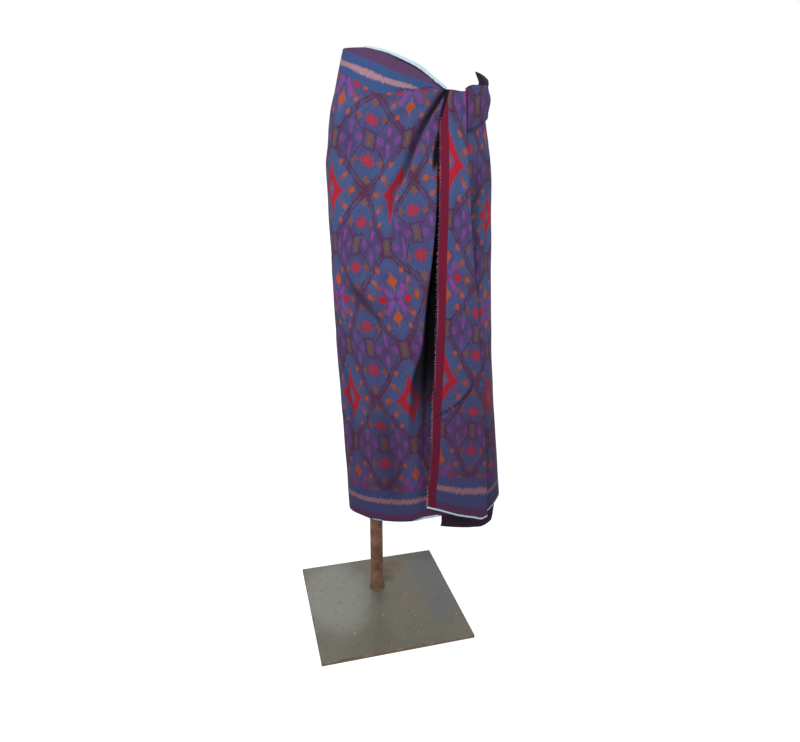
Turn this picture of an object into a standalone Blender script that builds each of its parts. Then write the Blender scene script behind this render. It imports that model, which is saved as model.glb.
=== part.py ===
"""Longyi sarong on a hip form stand, in metres, +Z up.

The garment is one straight length of ikat cloth with no cut shape and no seam. It is wound twice
round the hips from an inner end at the front, towards +X and round the back, and its outer end is
turned back on itself over the wearer's left hip and hangs in front as the fall. The top edge is
gathered to a knot, and a loose corner is folded and tucked in beside it. A padded hip form carries
the cloth, on an iron pole welded to a square base plate.

The origin is the centre of the plate's underside. The front faces -Y. An angle round the body is
counted from the front towards +X, in degrees, and goes past 360 where the cloth overlaps itself.
"""
import math
from collections import namedtuple

import bmesh
import bpy
import numpy as np

# Stand
PLATE_SIDE = 0.360
PLATE_THICK = 0.008
PLATE_EDGE = 0.0006
POLE_RADIUS = 0.016
POLE_BACK = 0.0583
WELD_RADIUS = 0.0205
WELD_HEIGHT = 0.0045
COLLAR_RADIUS = 0.034
COLLAR_SLEEVE_RADIUS = 0.0215
COLLAR_SLEEVE_DROP = 0.026
COLLAR_FLANGE = 0.004
SEAT_GAP = 0.0003
TURNED_SIDES = 28
POLE_CHAMFER = 0.0008
WELD_CHAMFER = 0.0008
WELD_SAG = 0.0012
WELD_FOOT = 0.0010

# Cloth
CLOTH_THICK = 0.0013
LAYER_GAP = 0.0006
WRAP_START = 26.0
WRAP_END = 383.5
FRONT_DROP = 0.0047
FRONT_FROM = -58.0
FRONT_TO = 66.0
FRONT_FADE = 36.0
RETURN_WIDTH = 0.014
FLAP_STAND = 0.0008
FLAP_TURN = 0.0026
FLAP_START = 37.7

# Hip form
FORM_BOTTOM = 0.800
FORM_BELOW_TOP = 0.020
FORM_FRONT_EXTRA = 0.0040
FORM_FRONT_MARGIN = 16.0
FORM_DOME = 0.006
FormRing = namedtuple("FormRing", "rise inset")
FORM_FOOT_RINGS = (
    FormRing(0.000, 0.0340),
    FormRing(0.002, 0.0270),
    FormRing(0.010, 0.0215),
    FormRing(0.030, 0.0175),
)
FORM_LOW_INSETS = (0.0065, 0.0020)
DomeRing = namedtuple("DomeRing", "scale lift")
DOME_RINGS = (
    DomeRing(0.965, 0.35),
    DomeRing(0.880, 0.62),
    DomeRing(0.680, 0.85),
    DomeRing(0.380, 0.97),
)
FORM_SHARP_EDGE = 50.0

# Heights that the cloth's rows share, so that layers lie parallel
LEVELS = (0.36, 0.42, 0.48, 0.54, 0.60, 0.66, 0.72, 0.78, 0.84, 0.90, 0.95, 1.00, 1.04, 1.08, 1.11, 1.14)
ROWS_OVER_LEVELS = 3

# Outer face of the outer turn: half width, centre, and depth in front and behind, at each height
Section = namedtuple("Section", "height half_width centre front back")
SECTIONS = (
    Section(0.25, 0.1880, 0.112, 0.128, 0.112),
    Section(0.40, 0.1820, 0.102, 0.125, 0.113),
    Section(0.60, 0.1750, 0.087, 0.121, 0.115),
    Section(0.80, 0.1725, 0.074, 0.118, 0.118),
    Section(0.95, 0.1710, 0.070, 0.116, 0.120),
    Section(1.05, 0.1700, 0.067, 0.112, 0.114),
    Section(1.15, 0.1590, 0.065, 0.100, 0.098),
    Section(1.20, 0.1470, 0.065, 0.093, 0.090),
    Section(1.26, 0.1330, 0.066, 0.088, 0.086),
)

# Hem and top edge of each turn, by the angle round the body
Edge = namedtuple("Edge", "angle hem top")
OUTER_EDGES = (
    Edge(26.0, 0.285, 1.186),
    Edge(40.0, 0.281, 1.190),
    Edge(48.0, 0.285, 1.195),
    Edge(62.0, 0.290, 1.200),
    Edge(90.0, 0.288, 1.203),
    Edge(120.0, 0.286, 1.203),
    Edge(140.0, 0.284, 1.212),
    Edge(165.0, 0.282, 1.236),
    Edge(200.0, 0.281, 1.256),
    Edge(250.0, 0.280, 1.266),
    Edge(268.0, 0.283, 1.268),
    Edge(298.0, 0.293, 1.265),
    Edge(310.0, 0.295, 1.265),
    Edge(330.0, 0.298, 1.256),
    Edge(343.0, 0.303, 1.2435),
    Edge(355.0, 0.306, 1.2325),
    Edge(366.0, 0.310, 1.217),
    Edge(380.0, 0.312, 1.192),
    Edge(384.0, 0.312, 1.186),
)
INNER_EDGES = (
    Edge(1.5, 0.275, 1.170),
    Edge(15.0, 0.265, 1.180),
    Edge(29.0, 0.253, 1.170),
    Edge(40.0, 0.245, 1.160),
    Edge(50.0, 0.248, 1.164),
    Edge(53.0, 0.260, 1.165),
    Edge(57.0, 0.286, 1.166),
    Edge(64.0, 0.297, 1.168),
    Edge(90.0, 0.298, 1.176),
    Edge(120.0, 0.296, 1.180),
    Edge(150.0, 0.295, 1.200),
    Edge(180.0, 0.295, 1.230),
    Edge(210.0, 0.297, 1.248),
    Edge(270.0, 0.303, 1.260),
    Edge(298.0, 0.312, 1.265),
    Edge(306.0, 0.313, 1.2715),
    Edge(330.0, 0.316, 1.262),
    Edge(343.0, 0.318, 1.2495),
    Edge(355.0, 0.319, 1.2385),
    Edge(366.0, 0.320, 1.223),
    Edge(381.0, 0.322, 1.197),
)
INNER_END_HEM = 1.5
INNER_END_TOP = 21.0
INNER_TURN = 359.2

# Columns of the turns, closest where the folds run into the knot
Stretch = namedtuple("Stretch", "start end steps")
OUTER_COLUMNS = (
    Stretch(26.0, 60.0, 8),
    Stretch(60.0, 270.0, 24),
    Stretch(270.0, 330.0, 13),
    Stretch(330.0, 383.5, 22),
)
INNER_COLUMNS = (
    Stretch(0.0, 60.0, 12),
    Stretch(60.0, 270.0, 24),
    Stretch(270.0, 330.0, 13),
    Stretch(330.0, 359.2, 6),
)
FORM_COLUMNS = (
    Stretch(60.0, 270.0, 24),
    Stretch(270.0, 330.0, 13),
    Stretch(330.0, 420.0, 12),
)

# The fall: its free edge, its folded edge, how far each stands off the outer turn, and the fold
FallRow = namedtuple("FallRow", "height free_edge fold_edge free_stand fold_stand fold_radius")
FALL_ROWS = (
    FallRow(0.26, -11.5, 30.0, 0.0080, 0.0260, 0.0050),
    FallRow(0.35, -9.5, 32.0, 0.0075, 0.0240, 0.0048),
    FallRow(0.47, -4.5, 34.0, 0.0065, 0.0215, 0.0045),
    FallRow(0.57, -1.5, 35.0, 0.0060, 0.0195, 0.0042),
    FallRow(0.68, 2.5, 35.5, 0.0060, 0.0175, 0.0038),
    FallRow(0.76, 5.0, 35.5, 0.0060, 0.0160, 0.0034),
    FallRow(0.87, 6.5, 33.0, 0.0055, 0.0130, 0.0030),
    FallRow(0.965, 8.0, 31.0, 0.0050, 0.0105, 0.0026),
    FallRow(1.095, 10.0, 30.5, 0.0038, 0.0072, 0.0020),
    FallRow(1.14, 11.0, 32.5, 0.0030, 0.0058, 0.0017),
    FallRow(1.163, 14.0, 34.0, 0.0024, 0.0050, 0.0016),
    FallRow(1.193, 19.0, 36.0, 0.0020, 0.0042, 0.0015),
)
FallEdge = namedtuple("FallEdge", "across hem top")
FALL_EDGES = (
    FallEdge(0.0, 0.333, 1.193),
    FallEdge(0.22, 0.323, 1.193),
    FallEdge(0.53, 0.305, 1.192),
    FallEdge(0.78, 0.293, 1.191),
    FallEdge(0.92, 0.286, 1.190),
    FallEdge(1.0, 0.289, 1.190),
)
FALL_STEPS = 9
FALL_SWELL = 1.5
FALL_BENDS = (45.0, 90.0, 135.0, 180.0)
RETURN_STEPS = 2

# Deep hollow beside the fall, where the outer turn dips to pass under it
Hollow = namedtuple("Hollow", "height mouth depth")
HOLLOW_ROWS = (
    Hollow(0.28, -18.0, 0.004),
    Hollow(0.40, -17.0, 0.008),
    Hollow(0.50, -14.5, 0.014),
    Hollow(0.588, -12.0, 0.023),
    Hollow(0.663, -8.0, 0.031),
    Hollow(0.718, -5.5, 0.035),
    Hollow(0.80, -1.5, 0.034),
    Hollow(0.88, 3.0, 0.027),
    Hollow(0.965, 6.2, 0.016),
    Hollow(1.085, 8.3, 0.009),
    Hollow(1.12, 9.5, 0.004),
    Hollow(1.16, 13.0, 0.000),
)

# Soft folds: where the crest or trough starts and ends, its sideways bow, half width and rise
Fold = namedtuple("Fold", "start_angle start_height end_angle end_height bow half_width rise")
FOLDS = (
    Fold(378.5, 1.184, 339.0, 0.975, -6.0, 0.0070, -0.0045),
    Fold(376.0, 1.172, 333.5, 0.878, -3.0, 0.0085, 0.0060),
    Fold(371.0, 1.140, 361.0, 1.040, 0.0, 0.0060, -0.0035),
    Fold(265.0, 0.885, 308.0, 0.650, 8.0, 0.0150, 0.0055),
    Fold(322.0, 0.560, 327.0, 0.300, 0.0, 0.0200, -0.0040),
    Fold(48.0, 1.080, 37.0, 0.270, -9.0, 0.0200, -0.0075),
    Fold(74.0, 1.120, 62.0, 0.820, 4.0, 0.0130, -0.0040),
    Fold(118.0, 0.920, 110.0, 0.290, 3.0, 0.0240, -0.0060),
    Fold(146.0, 1.170, 168.0, 0.820, 5.0, 0.0170, -0.0040),
    Fold(196.0, 0.760, 192.0, 0.285, -3.0, 0.0280, 0.0060),
    Fold(214.0, 1.190, 236.0, 0.860, 6.0, 0.0190, 0.0045),
    Fold(240.0, 0.700, 247.0, 0.285, 2.0, 0.0220, -0.0055),
)
METRES_PER_DEGREE = 0.0027

# The tucked corner: lower fold, front edge and standing back edge, by the angle
FlapColumn = namedtuple("FlapColumn", "angle fold front tip stand lean flare")
FLAP_COLUMNS = (
    FlapColumn(37.7, 1.117, 1.196, 1.197, 0.0062, 0.0, 0.000),
    FlapColumn(42.5, 1.122, 1.201, 1.202, 0.0085, 0.0, 0.000),
    FlapColumn(49.0, 1.128, 1.204, 1.205, 0.0112, 0.0, 0.001),
    FlapColumn(56.0, 1.135, 1.205, 1.206, 0.0137, 0.0, 0.003),
    FlapColumn(61.0, 1.140, 1.206, 1.210, 0.0150, -4.0, 0.005),
    FlapColumn(66.0, 1.143, 1.206, 1.229, 0.0158, -13.0, 0.006),
    FlapColumn(70.0, 1.146, 1.205, 1.2265, 0.0163, -10.0, 0.009),
    FlapColumn(78.0, 1.151, 1.203, 1.217, 0.0163, -4.0, 0.012),
    FlapColumn(86.0, 1.160, 1.200, 1.207, 0.0138, 0.0, 0.010),
    FlapColumn(94.0, 1.172, 1.197, 1.200, 0.0080, 0.0, 0.004),
)
FLAP_LEAN_FROM = 1.200
FLAP_LEAN_CURVE = 1.5
FLAP_FLARE_FROM = 1.188
FLAP_FLARE_OVER = 0.032
FLAP_BACK_PARTS = (1.0, 0.8, 0.6, 0.4, 0.2)
FLAP_FRONT_PARTS = (0.0, 0.25, 0.5, 0.75, 1.0)
FLAP_BENDS = (45.0, 90.0, 135.0)
FLAP_SWELL_OVER = 0.7
FLAP_EDGE_BLEND = 60.0


def column_of(table, name):
    """One named column of a table, as an array."""
    return np.array([getattr(row, name) for row in table])


def smooth_curve(value, table, key, name):
    """A smooth curve through a table's rows, which never swings past them."""
    value = np.asarray(value, float)
    keys = column_of(table, key)
    values = column_of(table, name)
    spans = np.diff(keys)
    slopes = np.diff(values) / spans
    same_way = slopes[:-1] * slopes[1:] > 0
    total = np.where(same_way, slopes[:-1] + slopes[1:], 1.0)
    middle = np.where(same_way, 2.0 * slopes[:-1] * slopes[1:] / total, 0.0)
    tangents = np.concatenate(([slopes[0]], middle, [slopes[-1]]))
    inside = np.clip(value, keys[0], keys[-1])
    row = np.clip(np.searchsorted(keys, inside, side="right") - 1, 0, len(spans) - 1)
    part = (inside - keys[row]) / spans[row]
    start = values[row] * (1 + 2 * part) * (1 - part) ** 2
    finish = values[row + 1] * part ** 2 * (3 - 2 * part)
    lean = part * (1 - part) * (tangents[row] * (1 - part) - tangents[row + 1] * part)
    past = np.where(value < keys[0], tangents[0], tangents[-1]) * (value - inside)
    return start + finish + lean * spans[row] + past


def step(value):
    """A soft step from 0 to 1."""
    inside = np.clip(value, 0.0, 1.0)
    return inside * inside * (3.0 - 2.0 * inside)


def front_angle(angle):
    """The same direction, counted from -180 to 180."""
    return (np.asarray(angle, float) + 180.0) % 360.0 - 180.0


def wound_angle(angle):
    """The same direction, counted along the outer turn from its start."""
    return (np.asarray(angle, float) - WRAP_START) % 360.0 + WRAP_START


def on_body(angle, height, stand):
    """A point at an angle and height, standing off the outer turn's even surface."""
    turn = np.radians(angle)
    depth = np.where(
        np.cos(turn) > 0,
        smooth_curve(height, SECTIONS, "height", "front"),
        smooth_curve(height, SECTIONS, "height", "back"),
    )
    half_width = smooth_curve(height, SECTIONS, "height", "half_width")
    centre = smooth_curve(height, SECTIONS, "height", "centre")
    x = centre + (half_width + stand) * np.sin(turn)
    y = -(depth + stand) * np.cos(turn)
    return np.stack(np.broadcast_arrays(x, y, height), axis=-1)


def fold_rise(angle, height, fold):
    """How far one soft fold lifts the cloth, most along its middle."""
    distance = np.full(np.broadcast(angle, height).shape, np.inf)
    along = np.zeros_like(distance)
    stops = np.linspace(0.0, 1.0, 9)
    angles = fold.start_angle + (fold.end_angle - fold.start_angle) * stops
    angles = angles + fold.bow * 4.0 * stops * (1.0 - stops)
    heights = fold.start_height + (fold.end_height - fold.start_height) * stops
    for index in range(len(stops) - 1):
        run_x = (angles[index + 1] - angles[index]) * METRES_PER_DEGREE
        run_z = heights[index + 1] - heights[index]
        from_x = (angle - angles[index]) * METRES_PER_DEGREE
        from_z = height - heights[index]
        part = np.clip((from_x * run_x + from_z * run_z) / (run_x ** 2 + run_z ** 2), 0.0, 1.0)
        gap = np.hypot(from_x - part * run_x, from_z - part * run_z)
        nearer = gap < distance
        distance = np.where(nearer, gap, distance)
        along = np.where(nearer, stops[index] + part * (stops[1] - stops[0]), along)
    taper = step(along / 0.2 + 0.25) * step((1.0 - along) / 0.45 + 0.1)
    return fold.rise * taper * np.exp(-(distance / fold.half_width) ** 2)


def hollow_depth(angle, height):
    """Depth of the hollow beside the fall, which closes again under the fall."""
    turned = front_angle(angle)
    mouth = smooth_curve(height, HOLLOW_ROWS, "height", "mouth")
    free_edge = smooth_curve(height, FALL_ROWS, "height", "free_edge")
    depth = np.maximum(smooth_curve(height, HOLLOW_ROWS, "height", "depth"), 0.0)
    wall = 3.0 + 0.55 * np.maximum(free_edge - mouth, 0.0)
    inward = step((turned - mouth) / wall)
    far_edge = front_angle(WRAP_END) + 1.0
    outward = step((turned - free_edge - 3.0) / np.maximum(far_edge - free_edge - 3.0, 1.0))
    return depth * inward * (1.0 - 0.8 * outward)


def outer_stand(angle, height):
    """How far the outer turn's outer face stands off the even surface, folds and hollow included."""
    rise = sum(fold_rise(angle, height, fold) for fold in FOLDS)
    free_edge = smooth_curve(height, FALL_ROWS, "height", "free_edge")
    covered = step((angle - 360.0 - free_edge + 4.0) / 3.0)
    rise = np.where(rise > 0, rise * (1.0 - covered), rise)
    in_front = np.abs(front_angle(angle)) < 90.0
    return rise - np.where(in_front & (angle > 180.0), hollow_depth(angle, height), 0.0)


def broad_front(angle, margin=0.0):
    """1 across the front, fading to 0 at the sides."""
    turned = front_angle(angle)
    from_right = step((turned - FRONT_FROM + margin) / FRONT_FADE)
    return from_right * step((FRONT_TO + margin - turned) / FRONT_FADE)


def front_dent(height):
    """Depth to which the front hangs back from the outer turn, below the belly."""
    return np.maximum(smooth_curve(height, HOLLOW_ROWS, "height", "depth"), 0.0)


def inner_stand(angle, height):
    """The inner turn follows the outer one at the back, and hangs clear behind it in front."""
    soft = sum(fold_rise(wound_angle(angle), height, fold) for fold in FOLDS)
    front = broad_front(angle)
    near_top = step((height - 1.15) / 0.05)
    drop = FRONT_DROP * front * (1.0 - near_top) + front_dent(height) * front
    return np.minimum(soft, 0.0) * (1.0 - front) - CLOTH_THICK - LAYER_GAP - drop


def row_heights(hem, top):
    """The rows of a sheet from its hem to its top edge, by way of the shared levels."""
    rows = [hem, 0.5 * (hem + LEVELS[0])]
    rows += [np.full_like(hem, level) for level in LEVELS]
    for count in range(1, ROWS_OVER_LEVELS + 1):
        rows.append(LEVELS[-1] + (top - LEVELS[-1]) * count / ROWS_OVER_LEVELS)
    return np.array(rows)


def columns(stretches):
    """The angles of a sheet's columns."""
    angles = [stretches[0].start]
    for stretch in stretches:
        steps = np.linspace(stretch.start, stretch.end, stretch.steps + 1)
        angles += list(steps[1:])
    return np.array(angles)


def new_material(name, colour, roughness, metallic=0.0):
    material = bpy.data.materials.new(name)
    material.use_nodes = True
    shader = material.node_tree.nodes["Principled BSDF"]
    shader.inputs["Base Color"].default_value = (*colour, 1.0)
    shader.inputs["Roughness"].default_value = roughness
    shader.inputs["Metallic"].default_value = metallic
    material.diffuse_color = (*colour, 1.0)
    return material


def new_part(name, mesh, material):
    """An object in the part's collection, with its own material."""
    mesh.materials.append(material)
    part = bpy.data.objects.new(name, mesh)
    collection.objects.link(part)
    return part


def mesh_from_grid(points, closed=False):
    """A mesh through a grid of points, rows first, whose outer face looks outwards."""
    rows, steps = points.shape[:2]
    shape = bmesh.new()
    verts = [[shape.verts.new(point) for point in row] for row in points]
    last = steps if closed else steps - 1
    for row in range(rows - 1):
        for index in range(last):
            after = (index + 1) % steps
            corners = (verts[row][index], verts[row][after], verts[row + 1][after], verts[row + 1][index])
            shape.faces.new(corners)
    return shape, verts


def new_sheet(name, points, material):
    """A sheet of cloth: an open surface given its thickness on the inner side."""
    shape, _ = mesh_from_grid(points)
    mesh = bpy.data.meshes.new(name)
    shape.to_mesh(mesh)
    shape.free()
    mesh.shade_smooth()
    sheet = new_part(name, mesh, material)
    wall = sheet.modifiers.new("Thickness", "SOLIDIFY")
    wall.thickness = CLOTH_THICK
    wall.offset = -1.0
    return sheet


def make_wrap_body():
    """The outer turn, from under the fall round the right side, back and left to the front."""
    angles = columns(OUTER_COLUMNS)
    hem = smooth_curve(angles, OUTER_EDGES, "angle", "hem")
    top = smooth_curve(angles, OUTER_EDGES, "angle", "top")
    heights = row_heights(hem, top)
    angles = np.broadcast_to(angles, heights.shape)
    points = on_body(angles, heights, outer_stand(angles, heights))
    blue = new_material("ikat_wrap", (0.085, 0.105, 0.26), 0.85)
    return new_sheet("wrap_body", points, blue)


def make_under_layer():
    """The inner turn, whose end edge slants from the hem to the knot under the fall."""
    from_end = columns(INNER_COLUMNS)
    hem = smooth_curve(from_end + INNER_END_HEM, INNER_EDGES, "angle", "hem")
    top = smooth_curve(from_end + INNER_END_TOP, INNER_EDGES, "angle", "top")
    heights = row_heights(hem, top)
    low = LEVELS[0]
    slant = step((heights - low) / (LEVELS[-1] - low))
    end_edge = INNER_END_HEM + (INNER_END_TOP - INNER_END_HEM) * slant
    first = INNER_COLUMNS[0].end
    last = INNER_COLUMNS[-1].start
    shift = np.maximum(1.0 - from_end / first, (from_end - last) / (INNER_TURN - last))
    angles = from_end + end_edge * np.clip(shift, 0.0, 1.0)
    points = on_body(angles, heights, inner_stand(angles, heights))
    plum = new_material("ikat_under", (0.07, 0.03, 0.07), 0.88)
    return new_sheet("under_layer", points, plum)


def make_front_fall():
    """The turned-back end, from its free edge to the fold, round the fold and a little way back."""
    across = np.linspace(0.0, 1.0, FALL_STEPS + 1)
    hem = smooth_curve(across, FALL_EDGES, "across", "hem")
    top = smooth_curve(across, FALL_EDGES, "across", "top")
    heights = row_heights(hem, top)
    row = {name: smooth_curve(heights, FALL_ROWS, "height", name) for name in FallRow._fields[1:]}
    angles = row["free_edge"] + (row["fold_edge"] - row["free_edge"]) * across
    stands = row["free_stand"] + (row["fold_stand"] - row["free_stand"]) * across ** FALL_SWELL
    fold_height = heights[:, -1:]
    radius = row["fold_radius"][:, -1:]
    reach = smooth_curve(fold_height, SECTIONS, "height", "half_width")
    per_metre = np.degrees(1.0) / reach
    bend = np.radians(np.array([FALL_BENDS]))
    bend_angles = angles[:, -1:] + radius * np.sin(bend) * per_metre
    bend_stands = stands[:, -1:] - radius * (1.0 - np.cos(bend))
    back_part = np.linspace(0.0, 1.0, RETURN_STEPS + 1)[None, 1:]
    back_angles = angles[:, -1:] - RETURN_WIDTH * back_part * per_metre
    back_stands = np.repeat(bend_stands[:, -1:], RETURN_STEPS, axis=1)
    angles = np.hstack((angles, bend_angles, back_angles))
    stands = np.hstack((stands, bend_stands, back_stands))
    heights = np.hstack((heights, np.repeat(fold_height, len(FALL_BENDS) + RETURN_STEPS, axis=1)))
    points = on_body(angles, heights, stands)
    blue = new_material("ikat_fall", (0.10, 0.11, 0.28), 0.85)
    return new_sheet("front_fall", points, blue)


def make_tuck_flap():
    """The loose corner, doubled along its lower fold, with its back half standing as a tip."""
    stations = columns(OUTER_COLUMNS[:2])
    stations = stations[(stations > FLAP_START + 3.0) & (stations < FLAP_COLUMNS[-1].angle)]
    stations = np.concatenate(([FLAP_START], stations, [FLAP_COLUMNS[-1].angle]))
    angle = np.sort(np.concatenate((stations, (stations[1:] + stations[:-1]) / 2)))
    fold, front, tip, stand, lean, flare = (
        smooth_curve(angle, FLAP_COLUMNS, "angle", name) for name in FlapColumn._fields[1:]
    )
    rows = []
    for part in FLAP_BACK_PARTS:
        height = fold + FLAP_TURN + (tip - fold - FLAP_TURN) * part
        above = np.clip((height - FLAP_LEAN_FROM) / np.maximum(tip - FLAP_LEAN_FROM, CLOTH_THICK), 0.0, 1.0)
        out = flare * step((height - FLAP_FLARE_FROM) / FLAP_FLARE_OVER)
        rows.append((angle + lean * above ** FLAP_LEAN_CURVE, height, FLAP_STAND + out))
    for bend in np.radians(FLAP_BENDS):
        height = fold + FLAP_TURN * (1.0 - math.sin(bend))
        turned = FLAP_STAND + FLAP_TURN * (1.0 - math.cos(bend))
        rows.append((angle, height, np.full_like(angle, turned)))
    low_stand = FLAP_STAND + 2.0 * FLAP_TURN
    for part in FLAP_FRONT_PARTS:
        height = fold + FLAP_TURN + (front - fold - FLAP_TURN) * part
        rows.append((angle, height, low_stand + (stand - low_stand) * step(part / FLAP_SWELL_OVER)))
    angles, heights, stands = (np.array(values) for values in zip(*rows))
    edge_lean = smooth_curve(heights, FALL_ROWS, "height", "fold_edge") - FALL_ROWS[-1].fold_edge
    edge_share = step((FLAP_EDGE_BLEND - angles) / (FLAP_EDGE_BLEND - FLAP_START))
    angles = angles + np.minimum(edge_lean, 0.0) * edge_share
    points = on_body(angles, heights, stands)
    violet = new_material("ikat_flap", (0.13, 0.07, 0.20), 0.86)
    return new_sheet("tuck_flap", points, violet)


def make_hip_form():
    """The padded form, closed by a shallow dome just below the cloth's top edge."""
    angles = columns(FORM_COLUMNS)[:-1]
    top = smooth_curve(np.minimum(angles, 384.0), OUTER_EDGES, "angle", "top")
    right_top = smooth_curve(angles - 360.0, OUTER_EDGES, "angle", "top")
    top = np.where(angles > 384.0, right_top, top)
    rows = []
    insets = []
    for ring in FORM_FOOT_RINGS:
        rows.append(np.full_like(angles, FORM_BOTTOM + ring.rise))
        insets.append(ring.inset)
    highest_foot = FORM_BOTTOM + FORM_FOOT_RINGS[-1].rise + LEVELS[1] - LEVELS[0]
    for index, level in enumerate(level for level in LEVELS if level > highest_foot):
        rows.append(np.full_like(angles, level))
        insets.append(FORM_LOW_INSETS[index] if index < len(FORM_LOW_INSETS) else 0.0)
    for count in range(1, ROWS_OVER_LEVELS):
        rows.append(LEVELS[-1] + (top - LEVELS[-1]) * count / ROWS_OVER_LEVELS)
        insets.append(0.0)
    rows.append(top - FORM_BELOW_TOP)
    insets.append(0.0)
    heights = np.array(rows)
    inset = np.array(insets)[:, None]
    turned = np.broadcast_to(angles, heights.shape)
    front = broad_front(turned, FORM_FRONT_MARGIN)
    folds = sum(fold_rise(wound_angle(turned), heights, fold) for fold in FOLDS)
    drop = (FRONT_DROP + FORM_FRONT_EXTRA + front_dent(heights)) * front
    stands = np.minimum(folds, 0.0) * (1.0 - front) - 2.0 * (CLOTH_THICK + LAYER_GAP) - drop - inset
    points = on_body(turned, heights, stands)
    shape, verts = mesh_from_grid(points, closed=True)
    shape.faces.new(list(reversed(verts[0])))
    crown = np.mean(points[-1], axis=0)
    below = verts[-1]
    for dome in DOME_RINGS:
        ring = []
        for point in points[-1]:
            inward = crown + (point - crown) * dome.scale
            ring.append(shape.verts.new(inward + np.array((0.0, 0.0, FORM_DOME * dome.lift))))
        for index, vert in enumerate(below):
            after = (index + 1) % len(below)
            shape.faces.new((vert, below[after], ring[after], ring[index]))
        below = ring
    centre = shape.verts.new(crown + np.array((0.0, 0.0, FORM_DOME)))
    for index, vert in enumerate(below):
        shape.faces.new((vert, below[(index + 1) % len(below)], centre))
    mesh = bpy.data.meshes.new("hip_form")
    shape.to_mesh(mesh)
    shape.free()
    mesh.shade_smooth()
    mesh.set_sharp_from_angle(angle=math.radians(FORM_SHARP_EDGE))
    linen = new_material("form_cover", (0.42, 0.38, 0.31), 0.9)
    return new_part("hip_form", mesh, linen)


def make_base_plate():
    """A square of cut steel plate, its edges just broken."""
    bpy.ops.mesh.primitive_cube_add(size=1.0, location=(0.0, 0.0, PLATE_THICK / 2))
    plate = bpy.context.object
    plate.scale = (PLATE_SIDE, PLATE_SIDE, PLATE_THICK)
    bpy.ops.object.transform_apply(location=False, rotation=False, scale=True)
    plate.name = "base_plate"
    plate.data.materials.append(new_material("plate_iron", (0.17, 0.17, 0.15), 0.6, 0.7))
    edge = plate.modifiers.new("Broken edge", "BEVEL")
    edge.width = PLATE_EDGE
    edge.segments = 1
    for holder in list(plate.users_collection):
        holder.objects.unlink(plate)
    collection.objects.link(plate)
    return plate


def turned_part(name, profile, material):
    """A turned piece on the pole's axis. The profile runs down the outside and up the bore."""
    shape = bmesh.new()
    verts = [shape.verts.new((radius, 0.0, height)) for radius, height in profile]
    for index, vert in enumerate(verts):
        after = verts[(index + 1) % len(verts)]
        if profile[index][0] > 0 or profile[(index + 1) % len(verts)][0] > 0:
            shape.edges.new((vert, after))
    mesh = bpy.data.meshes.new(name)
    shape.to_mesh(mesh)
    shape.free()
    part = new_part(name, mesh, material)
    part.location = (0.0, POLE_BACK, 0.0)
    spin = part.modifiers.new("Turn", "SCREW")
    spin.steps = TURNED_SIDES
    spin.render_steps = TURNED_SIDES
    spin.use_merge_vertices = True
    spin.merge_threshold = 0.00001
    spin.use_smooth_shade = True
    return part


def make_pole():
    """The iron pole, from the plate to the underside of the form."""
    low = PLATE_THICK + SEAT_GAP
    high = FORM_BOTTOM - SEAT_GAP
    profile = (
        (0.0, high),
        (POLE_RADIUS - POLE_CHAMFER, high),
        (POLE_RADIUS, high - POLE_CHAMFER),
        (POLE_RADIUS, low + POLE_CHAMFER),
        (POLE_RADIUS - POLE_CHAMFER, low),
        (0.0, low),
    )
    return turned_part("pole", profile, new_material("pole_rust", (0.14, 0.07, 0.04), 0.75, 0.4))


def make_weld_bead():
    """The run of weld round the pole's foot."""
    low = PLATE_THICK + SEAT_GAP
    bore = POLE_RADIUS + SEAT_GAP
    high = low + WELD_HEIGHT
    middle = (bore + WELD_RADIUS) / 2
    profile = (
        (bore + WELD_CHAMFER, high),
        (middle, high - WELD_SAG),
        (WELD_RADIUS, low + WELD_FOOT),
        (WELD_RADIUS, low),
        (bore, low),
        (bore, high - WELD_CHAMFER),
    )
    return turned_part("weld_bead", profile, new_material("weld_rust", (0.10, 0.05, 0.03), 0.85, 0.3))


def make_pole_collar():
    """The flanged collar that carries the form on the pole."""
    high = FORM_BOTTOM - SEAT_GAP
    bore = POLE_RADIUS + SEAT_GAP
    low = high - COLLAR_SLEEVE_DROP
    seat = high - COLLAR_FLANGE
    profile = (
        (COLLAR_RADIUS, high),
        (COLLAR_RADIUS, seat),
        (COLLAR_SLEEVE_RADIUS, seat),
        (COLLAR_SLEEVE_RADIUS, low),
        (bore, low),
        (bore, high),
    )
    return turned_part("pole_collar", profile, new_material("collar_steel", (0.25, 0.24, 0.23), 0.5, 0.9))


for old in list(bpy.data.objects):
    bpy.data.objects.remove(old, do_unlink=True)
collection = bpy.data.collections.new("longyi_sarong")
bpy.context.scene.collection.children.link(collection)

make_base_plate()
make_weld_bead()
make_pole()
make_pole_collar()
make_hip_form()
make_under_layer()
make_wrap_body()
make_front_fall()
make_tuck_flap()
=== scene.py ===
import math
from collections import namedtuple

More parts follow.
